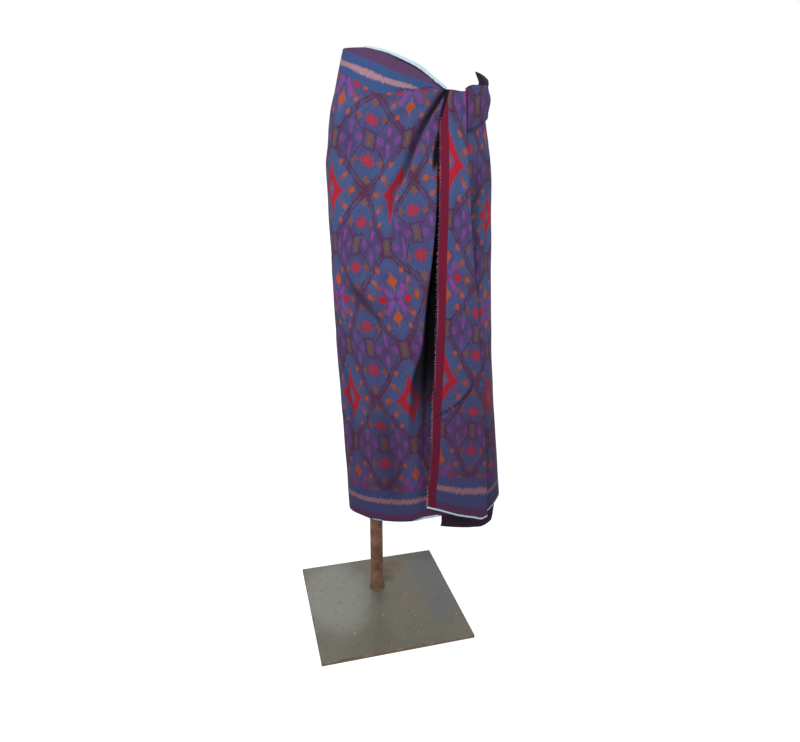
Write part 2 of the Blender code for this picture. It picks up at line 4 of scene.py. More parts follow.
import bpy
import numpy as np
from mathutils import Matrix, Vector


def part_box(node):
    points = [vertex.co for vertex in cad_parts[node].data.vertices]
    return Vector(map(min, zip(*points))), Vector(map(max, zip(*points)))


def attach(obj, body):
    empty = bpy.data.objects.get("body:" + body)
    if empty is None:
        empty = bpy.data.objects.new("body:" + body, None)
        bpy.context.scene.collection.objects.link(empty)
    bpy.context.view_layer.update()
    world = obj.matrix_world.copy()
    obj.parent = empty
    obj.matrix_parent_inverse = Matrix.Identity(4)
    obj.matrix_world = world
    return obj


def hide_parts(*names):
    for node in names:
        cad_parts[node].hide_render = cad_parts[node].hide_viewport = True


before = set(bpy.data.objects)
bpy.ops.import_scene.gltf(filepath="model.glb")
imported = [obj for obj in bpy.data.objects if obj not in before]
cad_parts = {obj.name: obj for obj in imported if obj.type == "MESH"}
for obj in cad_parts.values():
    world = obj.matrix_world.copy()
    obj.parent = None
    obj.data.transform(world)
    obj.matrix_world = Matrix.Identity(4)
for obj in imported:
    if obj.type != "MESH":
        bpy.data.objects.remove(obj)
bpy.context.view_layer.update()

# The outer turn of the sarong. It is the greater part of one straight length of ikat cloth, with no
# seam and no cut shape, wound from under the fall round the right side, the back and the left side.
# Its top edge is drawn to the knot at the front, and tension folds run down from there.
CLOTH_THICK = 0.0013
LAYER_GAP = 0.0006
CLOTH_WIDTH = 1.05
WRAP_START = 26.0
WRAP_END = 383.5
METRES_PER_DEGREE = 0.0027
LEVEL_LOW = 0.36
LEVEL_HIGH = 1.14


def rows_of(kind, rows):
    """A table of measurements, each row with its fields named."""
    return tuple(kind(*row) for row in rows)


Section = namedtuple("Section", "height half_width centre front back")
SECTIONS = rows_of(Section, (
    (0.25, 0.188, 0.112, 0.128, 0.112),
    (0.4, 0.182, 0.102, 0.125, 0.113),
    (0.6, 0.175, 0.087, 0.121, 0.115),
    (0.8, 0.1725, 0.074, 0.118, 0.118),
    (0.95, 0.171, 0.07, 0.116, 0.12),
    (1.05, 0.17, 0.067, 0.112, 0.114),
    (1.15, 0.159, 0.065, 0.1, 0.098),
    (1.2, 0.147, 0.065, 0.093, 0.09),
    (1.26, 0.133, 0.066, 0.088, 0.086),
))

Edge = namedtuple("Edge", "angle hem top")
OUTER_EDGES = rows_of(Edge, (
    (26, 0.285, 1.186), (40, 0.281, 1.19), (48, 0.285, 1.195), (62, 0.29, 1.2), (90, 0.288, 1.203),
    (120, 0.286, 1.203), (140, 0.284, 1.212), (165, 0.282, 1.236), (200, 0.281, 1.256),
    (250, 0.28, 1.266), (268, 0.283, 1.268), (298, 0.2915, 1.265), (310, 0.2915, 1.2635),
    (321, 0.293, 1.259), (331, 0.2945, 1.2535), (344, 0.298, 1.242), (355, 0.3005, 1.23),
    (366, 0.306, 1.213), (372, 0.308, 1.2025), (380, 0.31, 1.1915), (384, 0.31, 1.186),
))

FallRow = namedtuple("FallRow", "height free_edge fold_edge free_stand fold_stand fold_radius")
FALL_ROWS = rows_of(FallRow, (
    (0.26, -11.5, 30, 0.008, 0.026, 0.005),
    (0.35, -9.5, 32, 0.0075, 0.024, 0.0048),
    (0.47, -4.5, 34, 0.0065, 0.0215, 0.0045),
    (0.57, -1.5, 35, 0.006, 0.0195, 0.0042),
    (0.68, 2.5, 35.5, 0.006, 0.0175, 0.0038),
    (0.76, 5, 35.5, 0.006, 0.016, 0.0034),
    (0.87, 6.5, 33, 0.0055, 0.013, 0.003),
    (0.965, 8, 31, 0.005, 0.0105, 0.0026),
    (1.095, 10, 30.5, 0.0038, 0.0072, 0.002),
    (1.14, 11, 32.5, 0.003, 0.0058, 0.0017),
    (1.163, 14, 34, 0.0024, 0.005, 0.0016),
    (1.193, 19, 36, 0.002, 0.0042, 0.0015),
))

Hollow = namedtuple("Hollow", "height mouth depth")
HOLLOW_ROWS = rows_of(Hollow, (
    (0.28, -18, 0.004), (0.4, -17, 0.008), (0.5, -14.5, 0.014), (0.588, -12, 0.023),
    (0.663, -8, 0.031), (0.718, -5.5, 0.035), (0.8, -1.5, 0.034), (0.88, 3, 0.027),
    (0.965, 6.2, 0.016), (1.085, 8.3, 0.009), (1.12, 9.5, 0.004), (1.16, 13, 0),
))

Fold = namedtuple("Fold", "start_angle start_height end_angle end_height bow half_width rise")
FOLDS = rows_of(Fold, (
    (272, 0.86, 312, 0.64, 7, 0.015, 0.0062),
    (289, 0.84, 330, 0.748, 2, 0.015, -0.0046),
    (277, 0.72, 292, 0.43, 3, 0.013, -0.0036),
    (322, 0.56, 327, 0.3, 0, 0.02, -0.004),
    (48, 1.08, 37, 0.27, -9, 0.02, -0.0075),
    (62, 1.11, 54, 0.82, 3, 0.011, -0.0035),
    (118, 0.92, 110, 0.29, 3, 0.024, -0.006),
    (146, 1.17, 168, 0.82, 5, 0.017, -0.004),
    (196, 0.76, 192, 0.285, -3, 0.028, 0.006),
    (214, 1.19, 236, 0.86, 6, 0.019, 0.0045),
    (240, 0.7, 247, 0.285, 2, 0.022, -0.0055),
))
CREASES = rows_of(Fold, (
    (336, 1.187, 372.5, 1.194, 0, 0.0022, -0.0034),
    (338, 1.18, 370, 1.185, 1, 0.005, 0.0018),
    (324, 0.797, 341, 0.803, 0, 0.0032, -0.0014),
    (324, 0.806, 341, 0.812, 0, 0.005, 0.001),
    (342, 0.801, 350, 0.775, 0, 0.0032, -0.0012),
    (303, 0.64, 322, 0.56, 2, 0.011, 0.0022),
    (372, 1.176, 322, 1.12, -3, 0.007, -0.0018),
    (365, 1.16, 318, 1.06, -3, 0.01, 0.0018),
    (331, 0.86, 322, 0.72, 2, 0.011, -0.002),
    (346, 0.93, 341, 0.8, 1, 0.008, 0.0022),
    (296, 1.15, 312, 1.02, 2, 0.016, -0.0016),
    (344, 0.52, 340, 0.33, 0, 0.013, 0.0022),
    (88, 1, 84, 0.4, -2, 0.018, 0.003),
    (132, 0.8, 136, 0.33, 2, 0.02, 0.0026),
    (176, 1.14, 172, 0.88, -3, 0.015, 0.0022),
    (222, 0.56, 218, 0.3, 0, 0.018, 0.0026),
    (262, 1.12, 276, 0.96, 3, 0.015, -0.002),
    (76, 1.09, 76, 0.6, 0, 0.03, 0.004),
    (256, 1.09, 254, 0.88, 0, 0.03, 0.0028),
    (258, 0.72, 258, 0.45, 0, 0.03, 0.0032),
    (272, 0.6, 270, 0.31, 0, 0.018, 0.0024),
))
TUCK_WIDTH = 0.0002
EDGE_ROLL = 0.0018
PLEAT_RISE = 0.001
PLEAT_REACH = 0.07
PLEAT_CLEAR = 0.012
RIPPLE_RISE = 0.00028
POCKET_ANGLE = 8.4
POCKET_HEIGHT = 1.083
SLIVER_HEIGHT = 1.125
BESIDE_FALL_SHADE = 0.24
EDGE_SHADE = 0.8
KNOT_ANGLE = 377.0
KNOT_HEIGHT = 1.187

# Where the columns of the pattern run: the angle of each motif's axis, by height.
Axis = namedtuple("Axis", "height angle")
LEFT_AXIS = rows_of(Axis, (
    (0.37, 296), (0.475, 293.5), (0.583, 293), (0.7, 296), (0.8, 289.5), (0.908, 282.5),
    (1.015, 281.5), (1.108, 287), (1.195, 291),
))
LEFT_MIDDLE = rows_of(Axis, (
    (0.375, 320), (0.478, 320.5), (0.588, 318.5), (0.695, 316), (0.74, 314), (0.81, 308),
    (0.903, 308.5), (0.943, 313), (1.005, 318), (1.063, 321.5), (1.183, 325.5),
))
FRONT_AXIS = rows_of(Axis, (
    (0.383, 343), (0.498, 345), (0.598, 343.5), (0.705, 342), (0.808, 337.5), (0.91, 332.5),
    (1.008, 341), (1.1, 348.5), (1.188, 352.5),
))
FRONT_MIDDLE = rows_of(Axis, (
    (0.4, 362), (0.605, 362), (0.715, 360), (0.82, 359.5), (0.885, 356), (0.925, 354), (0.968, 351.5),
    (1.033, 352.5), (1.12, 352), (1.19, 358),
))
RIDGE_LINE = rows_of(Axis, (
    (0.3, 352), (0.8, 349), (0.9, 345), (0.95, 337), (0.985, 338), (1.048, 348.5), (1.103, 357),
    (1.143, 365.5), (1.168, 372.5), (1.188, 379),
))
RidgeRow = namedtuple("RidgeRow", "height valley roll shade lift")
RIDGE_ROWS = rows_of(RidgeRow, (
    (0.7, 0, 0, 0, 0),
    (0.78, 0, 0, 0, 0),
    (0.86, 0, 0, 0, 0.022),
    (0.95, 0.0006, 0.0012, 0.1, 0.024),
    (0.985, 0.003, 0.0025, 0.32, 0.024),
    (1.048, 0.0065, 0.0035, 0.6, 0.024),
    (1.103, 0.0068, 0.0035, 0.78, 0.018),
    (1.143, 0.0048, 0.0025, 0.95, 0.014),
    (1.168, 0.0026, 0.0012, 1, 0.008),
    (1.188, 0.001, 0, 1, 0),
    (1.23, 0, 0, 0, 0),
    (1.28, 0, 0, 0, 0),
))
VALLEY_WIDTH = 6.5
VALLEY_SHADE = 0.38
VALLEY_FULL = 0.0045
RIGHT_AXIS = rows_of(Axis, (
    (0.3, 50), (0.45, 53), (0.8, 58), (1.05, 62), (1.2, 63),
))
REPEAT_ALONG = 0.138
REPEATS_BEHIND = 4
RepeatRow = namedtuple("RepeatRow", "side_share front_share across")
REPEAT_ROWS = rows_of(RepeatRow, (
    (0, 0, 0), (0.08, 0.086, 0.085), (0.199, 0.21, 0.195), (0.314, 0.325, 0.305), (0.44, 0.45, 0.415),
    (0.545, 0.568, 0.525), (0.663, 0.684, 0.635), (0.778, 0.796, 0.745), (0.88, 0.905, 0.855),
    (1, 1, 0.965),
))
TopRow = namedtuple("TopRow", "angle field pink blue maroon edge")
TOP_ROWS = rows_of(TopRow, (
    (26, 1.15, 1.166, 1.174, 1.182, 1.038),
    (48, 1.15, 1.166, 1.175, 1.1865, 1.044),
    (90, 1.146, 1.164, 1.174, 1.19, 1.042),
    (140, 1.152, 1.17, 1.18, 1.198, 1.042),
    (200, 1.194, 1.212, 1.223, 1.242, 1.042),
    (250, 1.222, 1.241, 1.251, 1.2635, 1.034),
    (264, 1.226, 1.242, 1.253, 1.2672, 1.031),
    (278, 1.223, 1.2375, 1.2465, 1.2633, 1.036),
    (292, 1.218, 1.2325, 1.2405, 1.257, 1.042),
    (305, 1.208, 1.222, 1.2335, 1.249, 1.045),
    (319, 1.193, 1.21, 1.224, 1.2395, 1.046),
    (328, 1.184, 1.205, 1.215, 1.232, 1.046),
    (337.5, 1.1855, 1.1975, 1.208, 1.2225, 1.046),
    (346, 1.189, 1.1925, 1.203, 1.215, 1.046),
    (359, 1.192, 1.185, 1.1925, 1.207, 1.046),
    (367, 1.1935, 1.18, 1.187, 1.2, 1.046),
    (374, 1.19, 1.174, 1.181, 1.1945, 1.046),
    (384, 1.181, 1.16, 1.168, 1.18, 1.046),
))
HemRow = namedtuple("HemRow", "angle turned_under")
HEM_ROWS = rows_of(HemRow, (
    (26, 0), (80, 0), (110, 0.005), (305, 0.005), (309.5, 0.0014), (315, 0.0014), (319, 0.005),
    (338, 0.005), (342, 0.0008), (349, -0.002), (357, -0.002), (361, 0.005), (384, 0.005),
))
HEM_REACH = 0.06
BORDER = 0.085
PINK_FAR = 0.062
PINK_NEAR = 0.05
MAROON_WIDTH = 0.023
SELVEDGE_WIDTH = 0.004


def column_of(table, name):
    """One named column of a table, as an array."""
    return np.array([getattr(row, name) for row in table], float)


def smooth_curve(value, table, name, key=None):
    """A smooth curve through a table's rows, by its first field, which never swings past them."""
    value = np.asarray(value, float)
    keys = column_of(table, key or table[0]._fields[0])
    values = column_of(table, name)
    spans = np.diff(keys)
    slopes = np.diff(values) / spans
    same_way = slopes[:-1] * slopes[1:] > 0
    total = np.where(same_way, slopes[:-1] + slopes[1:], 1.0)
    middle = np.where(same_way, 2.0 * slopes[:-1] * slopes[1:] / total, 0.0)
    tangents = np.concatenate(([slopes[0]], middle, [slopes[-1]]))
    inside = np.clip(value, keys[0], keys[-1])
    row = np.clip(np.searchsorted(keys, inside, side="right") - 1, 0, len(spans) - 1)
    part = (inside - keys[row]) / spans[row]
    start = values[row] * (1 + 2 * part) * (1 - part) ** 2
    finish = values[row + 1] * part ** 2 * (3 - 2 * part)
    lean = part * (1 - part) * (tangents[row] * (1 - part) - tangents[row + 1] * part)
    past = np.where(value < keys[0], tangents[0], tangents[-1]) * (value - inside)
    return start + finish + lean * spans[row] + past


def step(value):
    """A soft step from 0 to 1."""
    inside = np.clip(value, 0.0, 1.0)
    return inside * inside * (3.0 - 2.0 * inside)


def front_angle(angle):
    """The same direction, counted from -180 to 180."""
    return (np.asarray(angle, float) + 180.0) % 360.0 - 180.0


def wound_angle(angle):
    """The same direction, counted along the outer turn from its start."""
    return (np.asarray(angle, float) - WRAP_START) % 360.0 + WRAP_START


def on_body(angle, height, stand):
    """A point at an angle and height, standing off the outer turn's even surface."""
    turn = np.radians(angle)
    depth = np.where(
        np.cos(turn) > 0,
        smooth_curve(height, SECTIONS, "front"),
        smooth_curve(height, SECTIONS, "back"),
    )
    half_width = smooth_curve(height, SECTIONS, "half_width")
    centre = smooth_curve(height, SECTIONS, "centre")
    x = centre + (half_width + stand) * np.sin(turn)
    y = -(depth + stand) * np.cos(turn)
    return np.stack(np.broadcast_arrays(x, y, height), axis=-1)


def fold_rise(angle, height, fold):
    """How far one soft fold lifts the cloth, most along its middle."""
    distance = np.full(np.broadcast(angle, height).shape, np.inf)
    along = np.zeros_like(distance)
    stops = np.linspace(0.0, 1.0, 9)
    angles = fold.start_angle + (fold.end_angle - fold.start_angle) * stops
    angles = angles + fold.bow * 4.0 * stops * (1.0 - stops)
    heights = fold.start_height + (fold.end_height - fold.start_height) * stops
    for index in range(len(stops) - 1):
        run_x = (angles[index + 1] - angles[index]) * METRES_PER_DEGREE
        run_z = heights[index + 1] - heights[index]
        from_x = (angle - angles[index]) * METRES_PER_DEGREE
        from_z = height - heights[index]
        part = np.clip((from_x * run_x + from_z * run_z) / (run_x ** 2 + run_z ** 2), 0.0, 1.0)
        gap = np.hypot(from_x - part * run_x, from_z - part * run_z)
        nearer = gap < distance
        distance = np.where(nearer, gap, distance)
        along = np.where(nearer, stops[index] + part * (stops[1] - stops[0]), along)
    taper = step(along / 0.2 + 0.25) * step((1.0 - along) / 0.45 + 0.1)
    return fold.rise * taper * np.exp(-(distance / fold.half_width) ** 2)


def all_folds(angle, height):
    """How far the soft folds and the creases lift the cloth together."""
    return sum(fold_rise(angle, height, fold) for fold in FOLDS + CREASES)


def hollow_depth(angle, height):
    """Depth of the hollow beside the fall, which closes again under the fall."""
    turned = front_angle(angle)
    mouth = smooth_curve(height, HOLLOW_ROWS, "mouth")
    free_edge = smooth_curve(height, FALL_ROWS, "free_edge")
    depth = np.maximum(smooth_curve(height, HOLLOW_ROWS, "depth"), 0.0)
    wall = 3.0 + 0.55 * np.maximum(free_edge - mouth, 0.0)
    inward = step((turned - mouth) / wall)
    far_edge = front_angle(WRAP_END) + 1.0
    outward = step((turned - free_edge - 3.0) / np.maximum(far_edge - free_edge - 3.0, 1.0))
    return depth * inward * (1.0 - 0.8 * outward)


def under_the_fall(angle, height):
    """0 where the outer turn shows, 1 where the fall covers it."""
    free_edge = smooth_curve(height, FALL_ROWS, "free_edge")
    return step((angle - 360.0 - free_edge + 4.0) / 3.0)


def knot_pleats(angle, height):
    """Fine gathers that fan out from the knot and die away."""
    run = (angle - KNOT_ANGLE) * METRES_PER_DEGREE
    rise = height - KNOT_HEIGHT
    reach = np.hypot(run, rise)
    heading = np.arctan2(rise, run)
    fan = np.cos(9.0 * heading + 0.8) + 0.5 * np.cos(23.0 * heading - 1.1)
    return PLEAT_RISE * fan * np.exp(-(reach / PLEAT_REACH) ** 2) * step(reach / PLEAT_CLEAR)


def hand_ripple(angle, height):
    """The slight unevenness of worn cloth, less than a millimetre deep."""
    run = angle * METRES_PER_DEGREE
    waves = np.sin(71.0 * run + 23.0 * height + 1.7 * np.sin(19.0 * height))
    waves = waves + 0.7 * np.sin(-43.0 * run + 61.0 * height + 0.9 * np.sin(31.0 * run))
    waves = waves + 0.5 * np.sin(127.0 * run - 37.0 * height + 2.0)
    return RIPPLE_RISE * waves


def left_of_ridge(angle, height):
    """Degrees from the ridge that runs down from the knot, more to its left."""
    return smooth_curve(height, RIDGE_LINE, "angle") - angle


def change_at_ridge(height):
    """Degrees over which the pattern changes at the ridge, more where the ridge fades out below."""
    return 1.6 + 9.0 * step((0.95 - height) / 0.1)


def ridge_fold(angle, height):
    """The deepest tension fold: a roll of cloth, with a valley close along its left side."""
    left = left_of_ridge(angle, height)
    valley = smooth_curve(height, RIDGE_ROWS, "valley")
    roll = smooth_curve(height, RIDGE_ROWS, "roll")
    dip = step(left / 1.8 + 0.5) * np.exp(-(np.maximum(left, 0.0) / VALLEY_WIDTH) ** 2)
    return roll * np.exp(-((left + 3.0) / 3.5) ** 2) - valley * dip


def outer_stand(angle, height):
    """How far the outer turn's outer face stands off the even surface, folds and hollow included."""
    rise = all_folds(angle, height) + knot_pleats(angle, height)
    rise = rise + hand_ripple(angle, height) + ridge_fold(angle, height)
    rise = np.where(rise > 0, rise * (1.0 - under_the_fall(angle, height)), rise)
    in_front = np.abs(front_angle(angle)) < 90.0
    return rise - np.where(in_front & (angle > 180.0), hollow_depth(angle, height), 0.0)


def outer_painted_shade(angle, height):
    """Painted shade, 0 on open cloth to 1: in the fold at the knot and the hollow beside the fall, lighter
    where soft folds dip.
    """
    left = left_of_ridge(angle, height)
    # Painted shade: the fold along the left of the ridge from the knot, then the hollow beside the fall.
    fold = smooth_curve(height, RIDGE_ROWS, "shade") * step((height - 0.95) / 0.03)
    reach = 5.5 + 4.0 * step((1.07 - height) / 0.06)
    fold = fold * step(left / 0.9 + 0.4) * (1.0 - step((left - 2.0) / reach))
    turned = front_angle(angle)
    mouth = smooth_curve(height, HOLLOW_ROWS, "mouth")
    open_width = smooth_curve(height, FALL_ROWS, "free_edge") - mouth
    spread = 5.5 * step((0.715 - height) / 0.09) * step((height - 0.4) / 0.1)
    past_mouth = turned - mouth + spread
    hollow = step((past_mouth + 0.6) / 2.6) * step((height - 0.43) / 0.24) * step((1.0 - height) / 0.03)
    low_part = step((past_mouth - 3.5) / 5.0) * step((0.63 - height) / 0.08)
    hollow = hollow * step(open_width) * (1.0 - 0.5 * low_part)
    # Painted shade: a black pocket down the hollow by the knot, and a black sliver beside the fall's band at
    # the top.
    off_pocket = height - POCKET_HEIGHT
    pocket = ((turned - POCKET_ANGLE - 80.0 * off_pocket) / 2.6) ** 2 + (off_pocket / 0.034) ** 2
    sliver = step((turned - 10.0 - 110.0 * (height - SLIVER_HEIGHT)) / 0.8)
    sliver = sliver * step((height - SLIVER_HEIGHT + 0.005) / 0.012)
    in_front = (np.abs(turned) < 60.0) & (angle > 180.0)
    painted_shade = np.maximum(np.maximum(fold, hollow), np.maximum(1.0 - step(pocket - 0.5), 0.9 * sliver))
    # Painted shade, lighter: low down on the right side beside the fall, and where the soft folds dip.
    beside_fall_shadow = BESIDE_FALL_SHADE * (1.0 - step((angle - 62.0) / 26.0)) * step((0.74 - height) / 0.24)
    valley_shadow = VALLEY_SHADE * np.clip(-all_folds(angle, height) / VALLEY_FULL, 0.0, 1.0)
    return np.maximum(np.where(in_front, painted_shade, beside_fall_shadow), valley_shadow)


def rows_between(low, high, steps):
    """Rows from one line across the sheet to another, without the first."""
    return [low + (high - low) * part for part in np.linspace(0.0, 1.0, steps + 1)[1:]]


def sheet_rows(hem, top, hem_steps, body_steps, top_steps):
    """The rows of a sheet from its hem to its top edge, level through the middle."""
    low = np.full_like(hem, LEVEL_LOW)
    high = np.full_like(hem, LEVEL_HIGH)
    rows = [hem] + rows_between(hem, low, hem_steps) + rows_between(low, high, body_steps)
    return np.array(rows + rows_between(high, top, top_steps))


def sheet_columns(*stretches):
    """The angles of a sheet's columns, from stretches of start, end and steps."""
    angles = [np.linspace(start, end, steps + 1)[:-1] for start, end, steps in stretches]
    return np.concatenate(angles + [[stretches[-1][1]]])


def run_along(points):
    """Length of cloth from the first column, along each row."""
    spans = np.linalg.norm(np.diff(points, axis=1), axis=2)
    return np.hstack((np.zeros((len(points), 1)), np.cumsum(spans, axis=1)))


def crossing(angles, heights, run, axis):
    """Where a pattern's axis crosses each row, as a length of cloth."""
    offset = angles - smooth_curve(heights, axis, "angle")
    return np.array([np.interp(0.0, off, along) for off, along in zip(offset, run)])


def weave_across(angles, heights, hem, top):
    """Distance from the hem selvedge, in the cloth's own width."""
    level = smooth_curve(angles, TOP_ROWS, "field")
    edge = smooth_curve(angles, TOP_ROWS, "edge")
    lift = smooth_curve(heights, RIDGE_ROWS, "lift")
    left = left_of_ridge(angles, heights)
    lift = lift * step(0.5 - left / change_at_ridge(heights))
    share = np.clip((heights - lift - hem) / (level - hem), 0.0, 1.0)
    side = smooth_curve(share, REPEAT_ROWS, "across", "side_share")
    front = smooth_curve(share, REPEAT_ROWS, "across", "front_share")
    below = side + (front - side) * step((angles - 290.0) / 32.0)
    under = smooth_curve(angles, HEM_ROWS, "turned_under")
    below = below + under * np.clip(1.0 - (heights - hem) / HEM_REACH, 0.0, 1.0)
    stripes = [smooth_curve(angles, TOP_ROWS, name) for name in ("pink", "blue", "maroon")]
    lines = [level] + stripes + [top]
    marks = [CLOTH_WIDTH - width for width in (BORDER, PINK_FAR, PINK_NEAR, MAROON_WIDTH)] + [edge]
    above = marks[0]
    for index in range(4):
        span = np.maximum(lines[index + 1] - lines[index], TUCK_WIDTH)
        part = np.clip((heights - lines[index]) / span, 0.0, 1.0)
        above = above + (marks[index + 1] - marks[index]) * part
    return np.where(heights <= level, below, above)


def weave_along(angles, heights, points):
    """Distance along the cloth's length, so that the pattern's columns fall on their axes."""
    run = run_along(points)
    axes = (RIGHT_AXIS, LEFT_AXIS, LEFT_MIDDLE, FRONT_AXIS, FRONT_MIDDLE)
    right, left, left_middle, front, front_middle = (crossing(angles, heights, run, axis) for axis in axes)
    half = REPEAT_ALONG / 2
    behind = -REPEATS_BEHIND * REPEAT_ALONG
    ridge = smooth_curve(heights, RIDGE_LINE, "angle")
    past_ridge = step((angles - ridge) / change_at_ridge(heights) + 0.5)
    rows = []
    for index, row in enumerate(run):
        stops = (0.0, right[index], left[index], left_middle[index], front[index])
        marks = (behind - right[index], behind, 0.0, half, 2.0 * half)
        before = np.interp(row, stops, marks) + np.maximum(row - front[index], 0.0)
        after = 3.0 * half + row - front_middle[index]
        rows.append(before + (after - before) * past_ridge[index])
    return np.array(rows) + (REPEATS_BEHIND + 2) * REPEAT_ALONG


def cloth_piece(name, points, along, across, painted_shade, material):
    """A sheet of cloth with thickness, whose map is in metres of its own length and width.

    Painted shade, from 0 to 1, for its folds, hollows and shaded corners goes with it as a point attribute.
    """
    rows, steps = points.shape[:2]
    index = np.arange(rows * steps).reshape(rows, steps)
    corners = np.stack((index[:-1, :-1], index[:-1, 1:], index[1:, 1:], index[1:, :-1]), axis=-1)
    mesh = bpy.data.meshes.new(name)
    mesh.from_pydata(points.reshape(-1, 3).tolist(), [], corners.reshape(-1, 4).tolist())
    weave = mesh.uv_layers.new(name="Weave")
    order = np.empty(len(mesh.loops), np.int32)
    mesh.loops.foreach_get("vertex_index", order)
    place = np.stack((along.ravel()[order], across.ravel()[order]), axis=-1)
    weave.data.foreach_set("uv", place.ravel().astype(np.float32))
    # The painted shade, kept on the points for the material to lay near black over the dyes.
    folds = mesh.attributes.new("painted_fold_shade", "FLOAT", "POINT")
    folds.data.foreach_set("value", np.broadcast_to(painted_shade, (rows, steps)).astype(np.float32).ravel())
    mesh.materials.append(material)
    mesh.shade_smooth()
    piece = bpy.data.objects.new(name, mesh)
    bpy.context.scene.collection.objects.link(piece)
    wall = piece.modifiers.new("Cloth thickness", "SOLIDIFY")
    wall.thickness = CLOTH_THICK
    wall.offset = -1.0
    bpy.ops.object.select_all(action="DESELECT")
    bpy.context.view_layer.objects.active = piece
    piece.select_set(True)
    bpy.ops.object.modifier_apply(modifier=wall.name)
    return piece


def seen_colour(red, green, blue):
    """A colour as the eye names it, from 0 to 255, as the shader takes it."""
    parts = []
    for value in (red / 255, green / 255, blue / 255):
        parts.append(value / 12.92 if value <= 0.04045 else ((value + 0.055) / 1.055) ** 2.4)
    return (*parts, 1.0)


class Field:
    """A number that varies over a piece, joined to others by plain arithmetic."""

    def __init__(self, tree, socket):
        self.tree = tree
        self.socket = socket

    def join(self, operation, *others):
        node = self.tree.nodes.new("ShaderNodeMath")
        node.operation = operation
        for place, value in zip(node.inputs, (self, *others)):
            if isinstance(value, Field):
                self.tree.links.new(value.socket, place)
            else:
                place.default_value = value
        return Field(self.tree, node.outputs[0])

    def __add__(self, other):
        return self.join("ADD", other)

    def __sub__(self, other):
        return self.join("SUBTRACT", other)

    def __mul__(self, other):
        return self.join("MULTIPLY", other)

    def short_of(self, limit):
        return self.join("MULTIPLY_ADD", -1.0, limit)

    def size(self):
        return self.join("ABSOLUTE")

    def folded(self, width):
        return self.join("PINGPONG", width)

    def held(self, low, high):
        return self.join("MAXIMUM", low).join("MINIMUM", high)

    def within(self, limit, soft):
        """1 below the limit and 0 above it, with a soft change."""
        node = self.tree.nodes.new("ShaderNodeMapRange")
        node.interpolation_type = "SMOOTHSTEP"
        self.tree.links.new(self.socket, node.inputs["Value"])
        node.inputs["From Min"].default_value = limit - soft
        node.inputs["From Max"].default_value = limit + soft
        node.inputs["To Min"].default_value = 1.0
        node.inputs["To Max"].default_value = 0.0
        return Field(self.tree, node.outputs["Result"])


def parts_of(tree, place):
    """The three parts of a place."""
    split = tree.nodes.new("ShaderNodeSeparateXYZ")
    tree.links.new(place, split.inputs[0])
    return [Field(tree, part) for part in split.outputs]


def oval(across, up, centre_across, centre_up, half_across, half_up, soft=0.35):
    """A soft oval spot."""
    first = across.join("MULTIPLY_ADD", 1 / half_across, -centre_across / half_across)
    second = up.join("MULTIPLY_ADD", 1 / half_up, -centre_up / half_up)
    return second.join("MULTIPLY_ADD", second, first * first).within(1.0, soft)


def diamond(across, up, centre_across, centre_up, half_across, half_up, soft=0.15, power=1.0):
    """A diamond, whose sides bow in where the power is below 1."""
    first = ((across - centre_across) * (1 / half_across)).size()
    second = ((up - centre_up) * (1 / half_up)).size()
    if power != 1.0:
        first = first.join("POWER", power)
        second = second.join("POWER", power)
    return (first + second).within(1.0, soft)


def bar(across, up, centre_across, centre_up, half_across, half_up, soft=0.0012):
    """A soft-edged block."""
    first = (across - centre_across).size().within(half_across, soft)
    second = (up - centre_up).size().within(half_up, soft * 1.5)
    return first * second


def stroke(distance, width, soft=0.0006):
    """A line along the places where the distance is nothing."""
    return distance.size().within(width / 2, soft)


class ColourLayers:
    """A piece's colour, as one layer after another is laid on: dyes and stains, and on the cloth and the
    plate painted shade.
    """

    def __init__(self, tree, ground):
        self.tree = tree
        self.ground = ground
        self.socket = None

    def lay(self, colour, mask, strength=1.0):
        mix = self.tree.nodes.new("ShaderNodeMix")
        mix.data_type = "RGBA"
        if strength != 1.0:
            mask = mask * strength
        self.tree.links.new(mask.socket, mix.inputs[0])
        if self.socket is None:
            mix.inputs[6].default_value = self.ground
        else:
            self.tree.links.new(self.socket, mix.inputs[6])
        mix.inputs[7].default_value = colour
        self.socket = mix.outputs[2]


def mottle(tree, place, scale_along, scale_across, detail=1.0):
    """Noise over a piece, centred on nothing, at a scale along and across it."""
    spread = tree.nodes.new("ShaderNodeVectorMath")
    spread.operation = "MULTIPLY"
    tree.links.new(place, spread.inputs[0])
    spread.inputs[1].default_value = (scale_along, scale_across, 1.0)
    noise = tree.nodes.new("ShaderNodeTexNoise")
    noise.noise_dimensions = "2D"
    noise.inputs["Scale"].default_value = 1.0
    noise.inputs["Detail"].default_value = detail
    tree.links.new(spread.outputs[0], noise.inputs["Vector"])
    return Field(tree, noise.outputs["Fac"]) - 0.5


def new_finish(name):
    """A material of its own, with its tree and its shader."""
    material = bpy.data.materials.new(name)
    material.use_nodes = True
    tree = material.node_tree
    return material, tree, tree.nodes["Principled BSDF"]


def set_looks(tree, shader, varied, plain):
    """Joins what varies over the surface to the shader, and sets what is the same all over."""
    for name, socket in varied.items():
        tree.links.new(socket, shader.inputs[name])
    for name, value in plain.items():
        shader.inputs[name].default_value = value


def raise_grain(tree, shader, relief, strength, depth):
    """Relief that is too fine for the mesh."""
    bump = tree.nodes.new("ShaderNodeBump")
    bump.inputs["Strength"].default_value = strength
    bump.inputs["Distance"].default_value = depth
    tree.links.new(relief.socket, bump.inputs["Height"])
    tree.links.new(bump.outputs["Normal"], shader.inputs["Normal"])


DYE_DEPTH = 0.33


def dyed(red, green, blue, depth=DYE_DEPTH):
    """The colour a surface is given, worked back from how it looks in the light of the room."""
    return (*(value * depth for value in seen_colour(red, green, blue)[:3]), 1.0)


